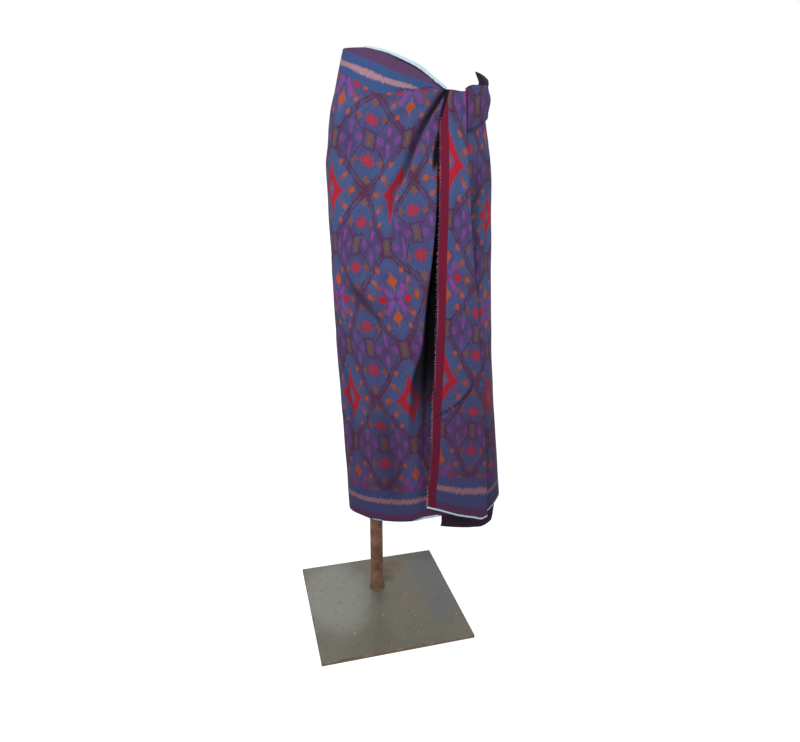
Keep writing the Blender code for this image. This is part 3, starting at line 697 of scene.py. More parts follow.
BLUE = dyed(80, 114, 174)
DEEP_BLUE = dyed(68, 86, 146)
VIOLET = dyed(102, 72, 134)
MAROON = dyed(112, 40, 62)
LINE_FILL = dyed(98, 64, 92)
PURPLE = dyed(166, 80, 176)
RED = dyed(212, 40, 58)
ORANGE = dyed(216, 98, 50)
BROWN = dyed(162, 94, 70)
OLIVE = dyed(116, 98, 100)
BORDER_MAROON = dyed(112, 74, 116)
BORDER_BLUE = dyed(72, 100, 160)
PINK = dyed(208, 156, 166)
SELVEDGE = dyed(204, 232, 244, 0.46)
PLUM = dyed(138, 26, 62)
# Painted shade, darker and more violet towards the hem.
HEM_SHADE_TINT = dyed(88, 14, 58, 0.2)
# Near black, laid as painted shade.
PAINTED_SHADOW = seen_colour(5, 4, 12)
REPEAT_ACROSS = 0.44
WARP_STEP = 0.0011
WEFT_STEP = 0.0012


def make_ikat():
    """The cloth's dyed pattern: a lattice of paired lines with a star, a cross or rosettes in each cell."""
    material, tree, shader = new_finish("ikat_cotton")
    weave = tree.nodes.new("ShaderNodeUVMap")
    weave.uv_map = "Weave"
    place = weave.outputs["UV"]

    def waver(*scales):
        """The unevenness of the dyed threads, at a scale along and across the cloth."""
        return mottle(tree, place, *scales)

    true_along, true_across = parts_of(tree, place)[:2]
    thread = waver(1150.0, 16.0)
    bleed = waver(230.0, 14.0)
    along = true_along + waver(15.0, 11.0) * 0.01
    across = true_across + thread * 0.009 + bleed * 0.008

    half = REPEAT_ALONG / 2
    star_row = REPEAT_ACROSS / 2
    knot_row = REPEAT_ACROSS / 4
    side = along.folded(half)
    middle = side.short_of(half)
    near_axis = along.folded(half / 2)
    between = near_axis.short_of(half / 2)
    from_border = across - BORDER
    up = from_border.folded(star_row)
    up_star = up.short_of(star_row)
    row = from_border.folded(knot_row)
    row_knot = row.short_of(knot_row)

    cloudy = waver(34.0, 22.0, 3.0)
    blotch = (cloudy * 2.6 + 0.62).held(0.0, 1.0)
    dye_and_shade = ColourLayers(tree, BLUE)
    dye_and_shade.lay(VIOLET, oval(between, row_knot, 0.0, 0.0, 0.036, 0.052, 0.6) * blotch, 0.8)
    dye_and_shade.lay(VIOLET, oval(between, row_knot, 0.0, 0.0, 0.02, 0.026, 0.8), 0.45)
    dye_and_shade.lay(VIOLET, oval(side, up, 0.0, 0.0, 0.046, 0.06, 0.7) * blotch, 0.6)
    dye_and_shade.lay(DEEP_BLUE, oval(middle, row, 0.0, 0.064, 0.022, 0.03, 0.6), 0.4)
    dye_and_shade.lay(LINE_FILL, (waver(520.0, 130.0, 2.0) * -1.0).within(-0.02, 0.16), 0.45)
    dye_and_shade.lay(LINE_FILL, oval(middle, row, 0.0, 0.0, 0.03, 0.03, 0.7) * blotch, 0.6)

    lattice = (side * (1 / half) + row * (1 / knot_row) - 1.0) * (1 / math.hypot(1 / half, 1 / knot_row))
    uneven = (waver(90.0, 60.0, 2.0) * 2.2 + 0.8).held(0.25, 1.0)
    rungs = (true_across * 900.0 + true_along * 500.0).join("SINE") * 0.5 + 0.5
    dye_and_shade.lay(LINE_FILL, stroke(lattice, 0.01, 0.0016) * uneven, 0.45)
    dye_and_shade.lay(MAROON, stroke(lattice, 0.009, 0.0008) * rungs, 0.22)
    dye_and_shade.lay(MAROON, stroke(lattice.size() - 0.0042, 0.002, 0.0008) * uneven, 0.95)
    swell = (row * (math.pi / knot_row)).join("SINE")
    ogee = middle - swell * 0.031
    dye_and_shade.lay(MAROON, stroke(ogee, 0.0028, 0.0011) * uneven, 0.95)
    tangle = stroke(lattice.size() - 0.0082, 0.0014, 0.0008)
    dye_and_shade.lay(MAROON, tangle * oval(middle, row, 0.0, 0.0, 0.034, 0.04, 0.5) * uneven, 0.6)
    dye_and_shade.lay(MAROON, oval(middle, row, 0.0, 0.0, 0.013, 0.013, 0.8), 0.25)

    dye_and_shade.lay(MAROON, stroke(near_axis - 0.0098, 0.002, 0.0009) * row_knot.within(0.023, 0.003), 0.85)
    dye_and_shade.lay(MAROON, bar(near_axis, row_knot, 0.0, 0.0195, 0.009, 0.0022), 0.75)
    dye_and_shade.lay(OLIVE, bar(near_axis, row_knot, 0.0, 0.0, 0.0062, 0.015), 0.85)
    dye_and_shade.lay(BROWN, stroke(near_axis, 0.0034, 0.001) * row_knot.within(0.0115, 0.002), 0.8)

    glow = (waver(160.0, 60.0, 2.0) * 2.4 + 0.75).held(0.2, 1.0)
    dye_and_shade.lay(PURPLE, oval(between, row_knot, 0.0, 0.0205, 0.0036, 0.0125) * glow, 1.0)
    dye_and_shade.lay(PURPLE, oval(between, row_knot, 0.0155, 0.0, 0.006, 0.008) * glow, 0.75)
    dye_and_shade.lay(MAROON, oval(between, row_knot, 0.0, 0.0, 0.004, 0.0055), 0.3)

    for flower_side, flower_row, size in (
        (0.0, 0.023, 0.0066), (0.026, 0.0, 0.0066), (0.0235, 0.064, 0.0062), (0.043, 0.024, 0.0056),
    ):
        off_side = middle - flower_side
        off_row = (row - flower_row) * 0.8
        far = (off_side * off_side + off_row * off_row).join("SQRT")
        lobes = (off_row.join("ARCTAN2", off_side) * 4.0).join("COSINE") * (size * -0.28)
        dye_and_shade.lay(BROWN, (far + lobes).within(size * 0.82, 0.0012), 0.9)
        dye_and_shade.lay(OLIVE, far.within(size * 0.3, 0.001), 0.8)
    rise = row - 0.064
    heading = rise.join("ARCTAN2", middle)
    reach = (middle * middle + rise * rise).join("SQRT")
    petals = (heading * 8.0).join("COSINE") * 0.003
    dye_and_shade.lay(RED, (reach - petals).within(0.0115, 0.0014), 0.85)
    dye_and_shade.lay(BROWN, (reach - 0.0048).size().within(0.0008, 0.0008), 0.55)
    dye_and_shade.lay(PURPLE, oval(middle, rise, 0.0, 0.0, 0.0022, 0.0026), 0.5)

    arm_out = side * 0.62 + up * 0.785
    arm_off = side * 0.785 - up * 0.62 + arm_out * arm_out * 4.0
    dye_and_shade.lay(PURPLE, bar(arm_out, arm_off, 0.0205, 0.0022, 0.0175, 0.0053, 0.0011) * glow, 1.0)
    dye_and_shade.lay(VIOLET, diamond(side, up, 0.0, 0.0, 0.006, 0.009), 0.8)
    dye_and_shade.lay(RED, oval(side, up, 0.0245, 0.0, 0.0082, 0.0086, 0.25), 0.95)
    dye_and_shade.lay(ORANGE, bar(side, up, 0.0, 0.04, 0.0012, 0.0215), 0.85)
    dye_and_shade.lay(ORANGE, diamond(side, up, 0.0, 0.0395, 0.0098, 0.0128, 0.2, 1.25), 0.95)

    dye_and_shade.lay(RED, diamond(side, up_star, 0.0, 0.0, 0.034, 0.06, 0.06, 0.74), 0.97)
    dye_and_shade.lay(BLUE, diamond(side, up_star, 0.0, 0.0, 0.01, 0.0175, 0.12, 1.2), 0.95)
    dye_and_shade.lay(ORANGE, oval(side, up_star, 0.0, 0.0, 0.0042, 0.006), 0.8)

    for spot_side, spot_up in ((0.0225, 0.061), (0.033, 0.033), (0.047, 0.0)):
        dye_and_shade.lay(ORANGE, oval(side, row, spot_side, spot_up, 0.0046, 0.0056, 0.3), 0.85)

    ragged = true_across + thread * 0.004
    from_top = ragged.short_of(CLOTH_WIDTH)
    edge = ragged.join("MINIMUM", from_top)
    dye_and_shade.lay(BORDER_BLUE, edge.within(BORDER, 0.0008))
    wavering = edge + waver(330.0, 2.0) * 0.014 + waver(60.0, 3.0) * 0.003
    pink_half = (PINK_FAR - PINK_NEAR) / 2
    dye_and_shade.lay(PINK, (wavering - (PINK_NEAR + pink_half)).size().within(pink_half, 0.0012), 0.9)
    dye_and_shade.lay(BORDER_MAROON, (edge + thread * 0.001).within(MAROON_WIDTH, 0.0006), 0.95)
    dye_and_shade.lay(PLUM, true_along.within(0.0, 0.0004))
    stitch = (true_across * 1450.0).join("SINE") * 0.001 + true_along
    dye_and_shade.lay(BORDER_MAROON, (stitch + 0.0172).within(0.0, 0.0004), 0.55)
    # Painted shade: the cloth is darkened and turned more violet towards the hem.
    dye_and_shade.lay(HEM_SHADE_TINT, true_across.within(0.3, 0.4), 0.56)
    dye_and_shade.lay(SELVEDGE, edge.within(SELVEDGE_WIDTH, 0.0004))
    # Painted shade: near black laid over the dyes in folds, hollows and shaded corners, read from the
    # piece's attribute.
    folds = tree.nodes.new("ShaderNodeAttribute")
    folds.attribute_name = "painted_fold_shade"
    dye_and_shade.lay(PAINTED_SHADOW, Field(tree, folds.outputs["Fac"]))

    shade = waver(820.0, 60.0, 2.0) * 0.42 + 1.0
    patch = waver(7.0, 6.0, 2.0) * 0.22
    tone = tree.nodes.new("ShaderNodeHueSaturation")
    tree.links.new(dye_and_shade.socket, tone.inputs["Color"])
    tree.links.new((shade + patch).socket, tone.inputs["Value"])
    rough = thread * 0.25 + 0.86
    varied = {"Base Color": tone.outputs["Color"], "Roughness": rough.socket}
    set_looks(tree, shader, varied, {"Specular IOR Level": 0.1})

    warp = (true_along * (2 * math.pi / WARP_STEP)).join("SINE")
    weft = (true_across * (2 * math.pi / WEFT_STEP)).join("SINE")
    slub = waver(60.0, 900.0, 2.0)
    raise_grain(tree, shader, warp * 0.5 + weft * 0.5 + slub * 1.6, 0.25, 0.0004)
    return material


ikat = make_ikat()
columns = sheet_columns((WRAP_START, 60.0, 18), (60.0, 270.0, 64), (270.0, 326.0, 42), (326.0, WRAP_END, 88))
hem = smooth_curve(columns, OUTER_EDGES, "hem")
top = smooth_curve(columns, OUTER_EDGES, "top")
level = smooth_curve(columns, TOP_ROWS, "field")
heights = sheet_rows(hem, level - TUCK_WIDTH, 8, 124, 16)
heights = np.vstack((
    heights,
    rows_between(level - TUCK_WIDTH, level + TUCK_WIDTH, 1),
    rows_between(level + TUCK_WIDTH, top - EDGE_ROLL, 15),
    top,
))
angles = np.broadcast_to(columns, heights.shape)
points = on_body(angles, heights, outer_stand(angles, heights))
along = weave_along(angles, heights, points)
across = weave_across(angles, heights, hem, top)
painted_shade = outer_painted_shade(angles, heights)
# Painted shade: a dark line along the outer turn's top edge.
painted_shade[-1] = np.maximum(painted_shade[-1], EDGE_SHADE)
painted_shade[-2] = np.maximum(painted_shade[-2], EDGE_SHADE * step((columns - 328.0) / 16.0))
wrap = cloth_piece("outer_turn", points, along, across, painted_shade, ikat)
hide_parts("wrap_body")
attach(wrap, "root")

# The inner turn of the same cloth, between the form and the outer turn. Its pale selvedge looks out
# above the outer top edge, and its lower corner hangs below the hem under the fall.
FRONT_DROP = 0.0047
INNER_END_HEM = 1.5
INNER_END_TOP = 21.0
INNER_TURN = 359.2
TAIL_LEAN = 3.0
TAIL_SHADE = 0.72
TAIL_TOP = 0.31
INNER_TOP_FROM = 1.15
INNER_ALONG = 0.05
HIDDEN_TOP = 1.16
HIDDEN_SHADE = 0.9
FRONT_LEFT = 58.0
FRONT_RIGHT = 66.0
FRONT_FADE = 36.0
INNER_EDGES = rows_of(Edge, (
    (1.5, 0.273, 1.17), (15, 0.262, 1.18), (29, 0.25, 1.17), (40, 0.242, 1.16), (50, 0.246, 1.164),
    (53, 0.26, 1.165), (57, 0.286, 1.166), (64, 0.297, 1.168), (90, 0.298, 1.176), (120, 0.296, 1.18),
    (150, 0.295, 1.2), (180, 0.295, 1.23), (210, 0.297, 1.248), (270, 0.303, 1.26), (298, 0.312, 1.26),
    (305, 0.313, 1.2645), (310, 0.313, 1.2665), (320, 0.315, 1.2632), (330, 0.316, 1.2583),
    (344, 0.318, 1.2475), (359, 0.319, 1.2325), (371, 0.321, 1.2125), (381, 0.322, 1.196),
))


def broad_front(angle):
    """1 across the front, fading to 0 at the sides."""
    turned = front_angle(angle)
    return step((turned + FRONT_LEFT) / FRONT_FADE) * step((FRONT_RIGHT - turned) / FRONT_FADE)


def inner_stand(angle, height):
    """The inner turn follows the outer one at the back, and hangs clear behind it in front."""
    wound = wound_angle(angle)
    soft = all_folds(wound, height) + knot_pleats(wound, height) + hand_ripple(wound, height)
    front = broad_front(angle)
    near_top = step((height - INNER_TOP_FROM) / 0.05)
    soft = soft + np.minimum(ridge_fold(wound, height), 0.0) * near_top
    dent = np.maximum(smooth_curve(height, HOLLOW_ROWS, "depth"), 0.0)
    drop = FRONT_DROP * front * (1.0 - near_top) + dent * front
    return np.minimum(soft, 0.0) * (1.0 - front * (1.0 - near_top)) - CLOTH_THICK - LAYER_GAP - drop


from_end = sheet_columns((0.0, 60.0, 24), (60.0, 270.0, 70), (270.0, 330.0, 30), (330.0, INNER_TURN, 24))
shift = np.clip(np.maximum(1.0 - from_end / 60.0, (from_end - 330.0) / (INNER_TURN - 330.0)), 0.0, 1.0)
hem = smooth_curve(from_end + INNER_END_HEM * shift, INNER_EDGES, "hem")
top = smooth_curve(from_end + INNER_END_TOP * shift, INNER_EDGES, "top")
heights = sheet_rows(hem, top, 8, 70, 16)
slant = step((heights - LEVEL_LOW) / (LEVEL_HIGH - LEVEL_LOW))
end_edge = INNER_END_HEM + (INNER_END_TOP - INNER_END_HEM) * slant
end_edge = end_edge - TAIL_LEAN * step((0.29 - heights) / 0.04)
angles = from_end + end_edge * shift
points = on_body(angles, heights, inner_stand(angles, heights))
share = (heights - hem) / (top - hem)
along = run_along(points) + INNER_ALONG
# Painted shade: the front of the inner turn, seen only down the hollow beside the fall, is laid near black,
# and its corner below the hem, under the fall, is darkened.
inner_front_shadow = HIDDEN_SHADE * broad_front(angles) * step((HIDDEN_TOP - heights) / 0.03)
inner_front_shadow = inner_front_shadow * step((heights - TAIL_TOP) / 0.03)
tail_shadow = TAIL_SHADE * step((TAIL_TOP - heights) / 0.02) * (angles < 60.0)
across = CLOTH_WIDTH * share + 0.005 * np.clip(1.0 - (heights - hem) / 0.03, 0.0, 1.0)
across = np.where(top - heights < 0.02, CLOTH_WIDTH - (top - heights) * 0.55, across)
across = np.where(tail_shadow > 0.0, np.minimum(across, MAROON_WIDTH - 0.001), across)
under = cloth_piece("inner_turn", points, along, across, np.maximum(inner_front_shadow, tail_shadow), ikat)
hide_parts("under_layer")
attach(under, "root")

# The fall. The outer end of the cloth is turned back on itself over the wearer's left hip and hangs
# in front, so that its reverse face shows, with the plum end band down its free edge.
RETURN_WIDTH = 0.014
BEND_STEPS = 11
BAND_WIDTH = 0.0195
BAND_GATHERED = 0.0175
GATHERED_FROM = 1.135
FALL_ACROSS = 0.33
FALL_SLANT = 0.028
CREASE_SHADE = 0.8
CREASE_HALF = 0.0019
HEAD_FROM = 1.128
HEAD_WIDTH = 0.0065
HEAD_SHADE = 0.95
FallEdge = namedtuple("FallEdge", "across hem top")
FALL_EDGES = rows_of(FallEdge, (
    (0, 0.333, 1.193), (0.22, 0.323, 1.193), (0.53, 0.305, 1.192), (0.78, 0.293, 1.191),
    (0.92, 0.286, 1.19), (1, 0.289, 1.19),
))
FALL_CREASES = rows_of(Fold, (
    (-3, 0.543, 28.5, 0.62, 8, 0.0028, -0.0026),
    (-2, 0.552, 27, 0.629, 8, 0.006, 0.002),
    (24, 1.15, 22, 0.9, 1, 0.006, -0.0015),
    (27, 0.86, 24, 0.6, 1, 0.009, 0.0022),
    (14, 0.5, 16, 0.33, 0, 0.011, 0.0024),
    (24, 0.47, 25, 0.31, 0, 0.011, -0.0022),
))
across_share = np.linspace(0.0, 1.0, 43)
hem = smooth_curve(across_share, FALL_EDGES, "hem")
top = smooth_curve(across_share, FALL_EDGES, "top")
heights = sheet_rows(hem, top, 8, 150, 12)
row = {name: smooth_curve(heights, FALL_ROWS, name) for name in FallRow._fields[1:]}
angles = row["free_edge"] + (row["fold_edge"] - row["free_edge"]) * across_share
stands = row["free_stand"] + (row["fold_stand"] - row["free_stand"]) * across_share ** 1.5
soft = sum(fold_rise(angles, heights, fold) for fold in FALL_CREASES)
soft = soft + hand_ripple(angles + 40.0, heights)
stands = stands + soft * step(across_share / 0.1) * step((1.0 - across_share) / 0.1)
fold_height = heights[:, -1:]
radius = row["fold_radius"][:, -1:]
per_metre = np.degrees(1.0) / smooth_curve(fold_height, SECTIONS, "half_width")
bend = np.radians(np.linspace(0.0, 180.0, BEND_STEPS)[None, 1:])
bend_angles = angles[:, -1:] + radius * np.sin(bend) * per_metre
bend_stands = stands[:, -1:] - radius * (1.0 - np.cos(bend))
back_part = np.array([[0.25, 0.5, 0.75, 1.0]])
back_angles = angles[:, -1:] - RETURN_WIDTH * back_part * per_metre
back_stands = np.repeat(bend_stands[:, -1:], back_part.size, axis=1)
angles = np.hstack((angles, bend_angles, back_angles))
stands = np.hstack((stands, bend_stands, back_stands))
heights = np.hstack((heights, np.repeat(fold_height, bend.size + back_part.size, axis=1)))
fall_points = on_body(angles, heights, stands)
band = BAND_WIDTH - BAND_GATHERED * step((fold_height - GATHERED_FROM) / 0.06)
along = run_along(fall_points) - band
along = np.where(along > 0.0, along * 0.93, along)
past_edge = np.ones(bend.size + back_part.size)
hem = np.hstack((hem, past_edge * hem[-1]))
drop = FALL_ACROSS - FALL_SLANT * np.hstack((across_share, past_edge))
across = (heights - hem) + (hem - drop) * step((heights - hem) / 0.1)
# Painted shade: a dark line along the fold across the fall, and a dark strip down the free edge near the
# top.
fall_shadow = fold_rise(angles, heights, FALL_CREASES[0]._replace(half_width=CREASE_HALF, rise=CREASE_SHADE))
head = HEAD_WIDTH * step((heights - HEAD_FROM) / 0.02)
fall_shadow = np.maximum(fall_shadow, HEAD_SHADE * step((head - run_along(fall_points)) / 0.0015))
fall = cloth_piece("fall", fall_points, along, across, fall_shadow, ikat)
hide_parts("front_fall")
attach(fall, "root")

# The raw ends of the weft along the end band, held by a row of overcast stitches. Each is a short
# cotton thread that stands out from the free edge, no two of the same length.
THREADS = 210
THREAD_HELD = 0.0026
THREAD_SHORT = 0.0016
THREAD_LONG = 0.0046
ROOT_HALF = 0.00042
MIDDLE_HALF = 0.00048
TIP_HALF = 0.00018


def own_space(tree):
    """A piece's own space, in metres."""
    return tree.nodes.new("ShaderNodeTexCoord").outputs["Object"]


threads_mesh = bpy.data.meshes.new("end_threads")
rng = np.random.default_rng(11)
thread_verts = []
thread_faces = []
edge_rows = fall_points[:, 0]
edge_next = fall_points[:, 1]
for count in range(THREADS):
    spot = 2.0 + (len(edge_rows) - 14.0) * (count + rng.uniform(-0.3, 0.3)) / THREADS
    spot = min(max(spot, 0.0), len(edge_rows) - 2.0)
    index = int(spot)
    base = edge_rows[index] + (edge_rows[index + 1] - edge_rows[index]) * (spot - index)
    inward = edge_next[index] - edge_rows[index]
    inward = inward / np.linalg.norm(inward)
    face = np.cross(inward, (0.0, 0.0, 1.0))
    length = rng.uniform(THREAD_SHORT, THREAD_LONG)
    droop = rng.uniform(-0.7, 0.3)
    tip = base - inward * length + np.array((0.0, 0.0, droop * length)) + face * rng.uniform(0.0, 0.0012)
    root = base + inward * THREAD_HELD + face * 0.0004
    first = len(thread_verts)
    for end, thick in ((root, ROOT_HALF), (base + face * 0.0005, MIDDLE_HALF), (tip, TIP_HALF)):
        for turn in (0.0, 120.0, 240.0):
            out = face * math.cos(math.radians(turn)) + np.array((0.0, 0.0, math.sin(math.radians(turn))))
            thread_verts.append(end + out * thick)
    for ring in (0, 3):
        for side in range(3):
            other = (side + 1) % 3
            low, high = first + ring, first + ring + 3
            thread_faces.append((low + side, high + side, high + other, low + other))
    thread_faces.append((first, first + 1, first + 2))
    thread_faces.append((first + 8, first + 7, first + 6))
threads_mesh.from_pydata(thread_verts, [], thread_faces)
threads = bpy.data.objects.new("end_threads", threads_mesh)
bpy.context.scene.collection.objects.link(threads)
cotton, cotton_tree, cotton_shader = new_finish("plum_thread")
cotton_place = own_space(cotton_tree)
cotton_tone = mottle(cotton_tree, cotton_place, 300.0, 300.0, 2.0)
cotton_dye = ColourLayers(cotton_tree, dyed(120, 44, 70))
cotton_dye.lay(dyed(224, 158, 166, 0.6), (cotton_tone * -1.0).within(-0.05, 0.08), 0.8)
cotton_plain = {"Roughness": 0.9, "Specular IOR Level": 0.2}
set_looks(cotton_tree, cotton_shader, {"Base Color": cotton_dye.socket}, cotton_plain)
threads_mesh.materials.append(cotton)
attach(threads, "root")

# The loose corner at the knot. It is doubled along its lower fold, tucked in beside the knot, and its
# back half stands up as a small tip above the waist.
FLAP_STAND = 0.0008
FLAP_TURN = 0.0026
FLAP_START = 37.7
FLAP_ROWS = 22
FLAP_FRONT_ROW = FLAP_ROWS + BEND_STEPS - 1
FlapColumn = namedtuple("FlapColumn", "angle fold front tip stand lean flare")
FLAP_COLUMNS = rows_of(FlapColumn, (
    (37.7, 1.117, 1.196, 1.197, 0.0062, 0, 0),
    (42.5, 1.122, 1.201, 1.202, 0.0085, 0, 0),
    (49, 1.128, 1.204, 1.205, 0.0112, 0, 0.001),
    (56, 1.135, 1.205, 1.206, 0.0137, 0, 0.003),
    (61, 1.14, 1.206, 1.21, 0.015, -5, 0.006),
    (66, 1.143, 1.206, 1.2285, 0.0158, -16, 0.008),
    (70, 1.146, 1.205, 1.225, 0.0163, -12, 0.012),
    (78, 1.151, 1.202, 1.216, 0.0163, -6, 0.0165),
    (86, 1.16, 1.198, 1.208, 0.0145, 0, 0.016),
    (94, 1.172, 1.197, 1.2, 0.008, 0, 0.004),
))
FLAP_LEAN_FROM = 1.2
FLAP_LEAN_CURVE = 1.5
FLAP_FLARE_FROM = 1.188
FLAP_FLARE_OVER = 0.024
FLAP_ALONG = 8.0 * REPEAT_ALONG - 0.026
FLAP_ACROSS = 0.376
FLAP_PULL = 0.0012
TIP_FROM = 1.196
TIP_SHADE = 0.66
TURN_SHADE = 0.55
flap_angles = np.linspace(FLAP_START, FLAP_COLUMNS[-1].angle, 61)
fold, front, tip, stand, lean, flare = (
    smooth_curve(flap_angles, FLAP_COLUMNS, name) for name in FlapColumn._fields[1:]
)
flap_rows = []
flap_turns = []
for part in np.linspace(1.0, 0.08, FLAP_ROWS):
    height = fold + FLAP_TURN + (tip - fold - FLAP_TURN) * part
    above = np.clip((height - FLAP_LEAN_FROM) / np.maximum(tip - FLAP_LEAN_FROM, CLOTH_THICK), 0.0, 1.0)
    flap_turns.append(flap_angles + lean * above ** FLAP_LEAN_CURVE)
    flap_rows.append((height, FLAP_STAND + flare * step((height - FLAP_FLARE_FROM) / FLAP_FLARE_OVER)))
for bend in np.radians(np.linspace(0.0, 180.0, BEND_STEPS)):
    turned = FLAP_STAND + FLAP_TURN * (1.0 - math.cos(bend))
    flap_turns.append(flap_angles)
    flap_rows.append((fold + FLAP_TURN * (1.0 - math.sin(bend)), np.full_like(fold, turned)))
low_stand = FLAP_STAND + 2.0 * FLAP_TURN
for part in np.linspace(0.06, 1.0, FLAP_ROWS):
    height = fold + FLAP_TURN + (front - fold - FLAP_TURN) * part
    pull = FLAP_PULL * np.sin((flap_angles - 38.0) * 0.27 - part * 4.0)
    pull = pull * step(part / 0.3) * step((1.0 - part) / 0.3)
    flap_turns.append(flap_angles)
    flap_rows.append((height, low_stand + (stand - low_stand) * step(part / 0.7) + pull))
heights, stands = (np.array(values) for values in zip(*flap_rows))
edge_lean = smooth_curve(heights, FALL_ROWS, "fold_edge") - FALL_ROWS[-1].fold_edge
angles = np.array(flap_turns) + np.minimum(edge_lean, 0.0) * step((60.0 - flap_angles) / (60.0 - FLAP_START))
flap_points = on_body(angles, heights, stands)
climb = run_along(flap_points.transpose(1, 0, 2)).T
climb = climb - climb[FLAP_FRONT_ROW]
# Painted shade: the inside face of the tip is darkened, and a dark line runs along the lower fold.
above_front = step((heights - np.maximum(TIP_FROM, front - 0.004)) / 0.006)
tip_shadow = TIP_SHADE * above_front * (stands < FLAP_STAND + 0.018)
tip_shadow = tip_shadow * (1.0 - 0.8 * step((flap_angles - 67.0) / 4.0))
tip_shadow[FLAP_ROWS:] = 0.0
flap_shadow = np.maximum(tip_shadow, TURN_SHADE * np.exp(-((heights - fold - FLAP_TURN) / 0.0022) ** 2))
along = run_along(flap_points) + FLAP_ALONG
flap = cloth_piece("tucked_corner", flap_points, along, climb + FLAP_ACROSS, flap_shadow, ikat)
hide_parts("tuck_flap")
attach(flap, "root")

# The padded hip form inside the cloth. It is foam under a stretched jersey cover, and only its crown
# and its underside can be seen, from above and from below.
jersey, jersey_tree, jersey_shader = new_finish("jersey_cover")
jersey_place = own_space(jersey_tree)
jersey_dye = ColourLayers(jersey_tree, seen_colour(206, 196, 176))
wale = mottle(jersey_tree, jersey_place, 900.0, 90.0, 3.0)
course = mottle(jersey_tree, jersey_place, 90.0, 900.0, 3.0)
jersey_dye.lay(seen_colour(176, 162, 138), (wale * -1.0).within(-0.02, 0.1), 0.6)
jersey_dye.lay(seen_colour(222, 214, 198), (course * -1.0).within(-0.06, 0.1), 0.5)
jersey_varied = {"Base Color": jersey_dye.socket, "Roughness": (wale * 0.2 + 0.88).socket}
set_looks(jersey_tree, jersey_shader, jersey_varied, {"Specular IOR Level": 0.25})
raise_grain(jersey_tree, jersey_shader, wale + course, 0.3, 0.0005)
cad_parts["hip_form"].material_slots[0].material = jersey

# The iron pole, with its run of weld at the foot and the steel collar that carries the form. The
# pole is bare tube that has rusted brown, and the weld was left as it was laid.
POLE_BACK = 0.0583
POLE_SIDES = 64
BORE_GAP = 0.0003


def space_noise(tree, place, scale, detail):
    """Noise through a piece's own space, centred on nothing."""
    noise = tree.nodes.new("ShaderNodeTexNoise")
    noise.inputs["Scale"].default_value = scale
    noise.inputs["Detail"].default_value = detail
    tree.links.new(place, noise.inputs["Vector"])
    return Field(tree, noise.outputs["Fac"]) - 0.5


def rusted(name, dark, brown, light, scale, metal):
    """Iron with a brown rust skin, darker pits and lighter rubbed places."""
    material, tree, shader = new_finish(name)
    place = own_space(tree)
    skin = ColourLayers(tree, seen_colour(*brown))
    patches = space_noise(tree, place, scale, 4.0)
    pits = space_noise(tree, place, scale * 3.7, 3.0)
    drift = space_noise(tree, place, scale * 0.35, 2.0)
    skin.lay(seen_colour(*dark), (patches * -1.0).within(-0.02, 0.09), 0.75)
    skin.lay(seen_colour(*light), (drift * -1.0 - 0.02).within(-0.05, 0.08), 0.5)
    skin.lay(seen_colour(*dark), (pits * -1.0).within(-0.12, 0.05), 0.7)
    varied = {"Base Color": skin.socket, "Roughness": (patches * 0.5 + 0.66).socket}
    set_looks(tree, shader, varied, {"Metallic": metal, "Specular IOR Level": 0.4})
    raise_grain(tree, shader, pits + patches, 0.45, 0.0008)
    return material


def round_size(box):
    """Where a round solid starts and ends, and its radius."""
    low, high = box
    return low.z, high.z, (high.x - low.x) / 2


def turned_piece(name, rings, material):
    """A round piece on the pole's axis, drawn up from its lowest ring and closed on itself."""
    bpy.ops.object.select_all(action="DESELECT")
    radius, height = rings[0]
    bpy.ops.mesh.primitive_circle_add(vertices=POLE_SIDES, radius=radius, location=(0.0, POLE_BACK, height))
    piece = bpy.context.object
    piece.name = name
    bpy.ops.object.transform_apply(location=True, rotation=False, scale=False)
    bpy.ops.object.mode_set(mode="EDIT")
    bpy.ops.mesh.select_all(action="SELECT")
    for next_radius, next_height in rings[1:]:
        bpy.ops.mesh.extrude_edges_move(TRANSFORM_OT_translate={"value": (0.0, 0.0, next_height - height)})
        grow = next_radius / radius
        bpy.ops.transform.resize(value=(grow, grow, 1.0), center_override=(0.0, POLE_BACK, next_height))
        radius, height = next_radius, next_height
    bpy.ops.mesh.select_all(action="SELECT")
    if rings[0] == rings[-1]:
        bpy.ops.mesh.remove_doubles(threshold=0.00001)
    else:
        bpy.ops.mesh.fill_holes(sides=POLE_SIDES)
    bpy.ops.mesh.normals_make_consistent(inside=False)
    bpy.ops.object.mode_set(mode="OBJECT")
    bpy.ops.object.shade_smooth_by_angle(angle=math.radians(35.0))
    piece.data.materials.append(material)
    return piece


pole_rust = rusted("pole_rust", (68, 44, 34), (100, 68, 52), (122, 90, 72), 40.0, 0.25)
pole_low, pole_high, pole_radius = round_size(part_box("pole"))
pole = turned_piece(
    "iron_pole",
    (
        (pole_radius - 0.0008, pole_low), (pole_radius, pole_low + 0.0008), (pole_radius, 0.2),
        (pole_radius, 0.5), (pole_radius, pole_high - 0.0008), (pole_radius - 0.0008, pole_high),
    ),
    pole_rust,
)
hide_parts("pole")
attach(pole, "root")

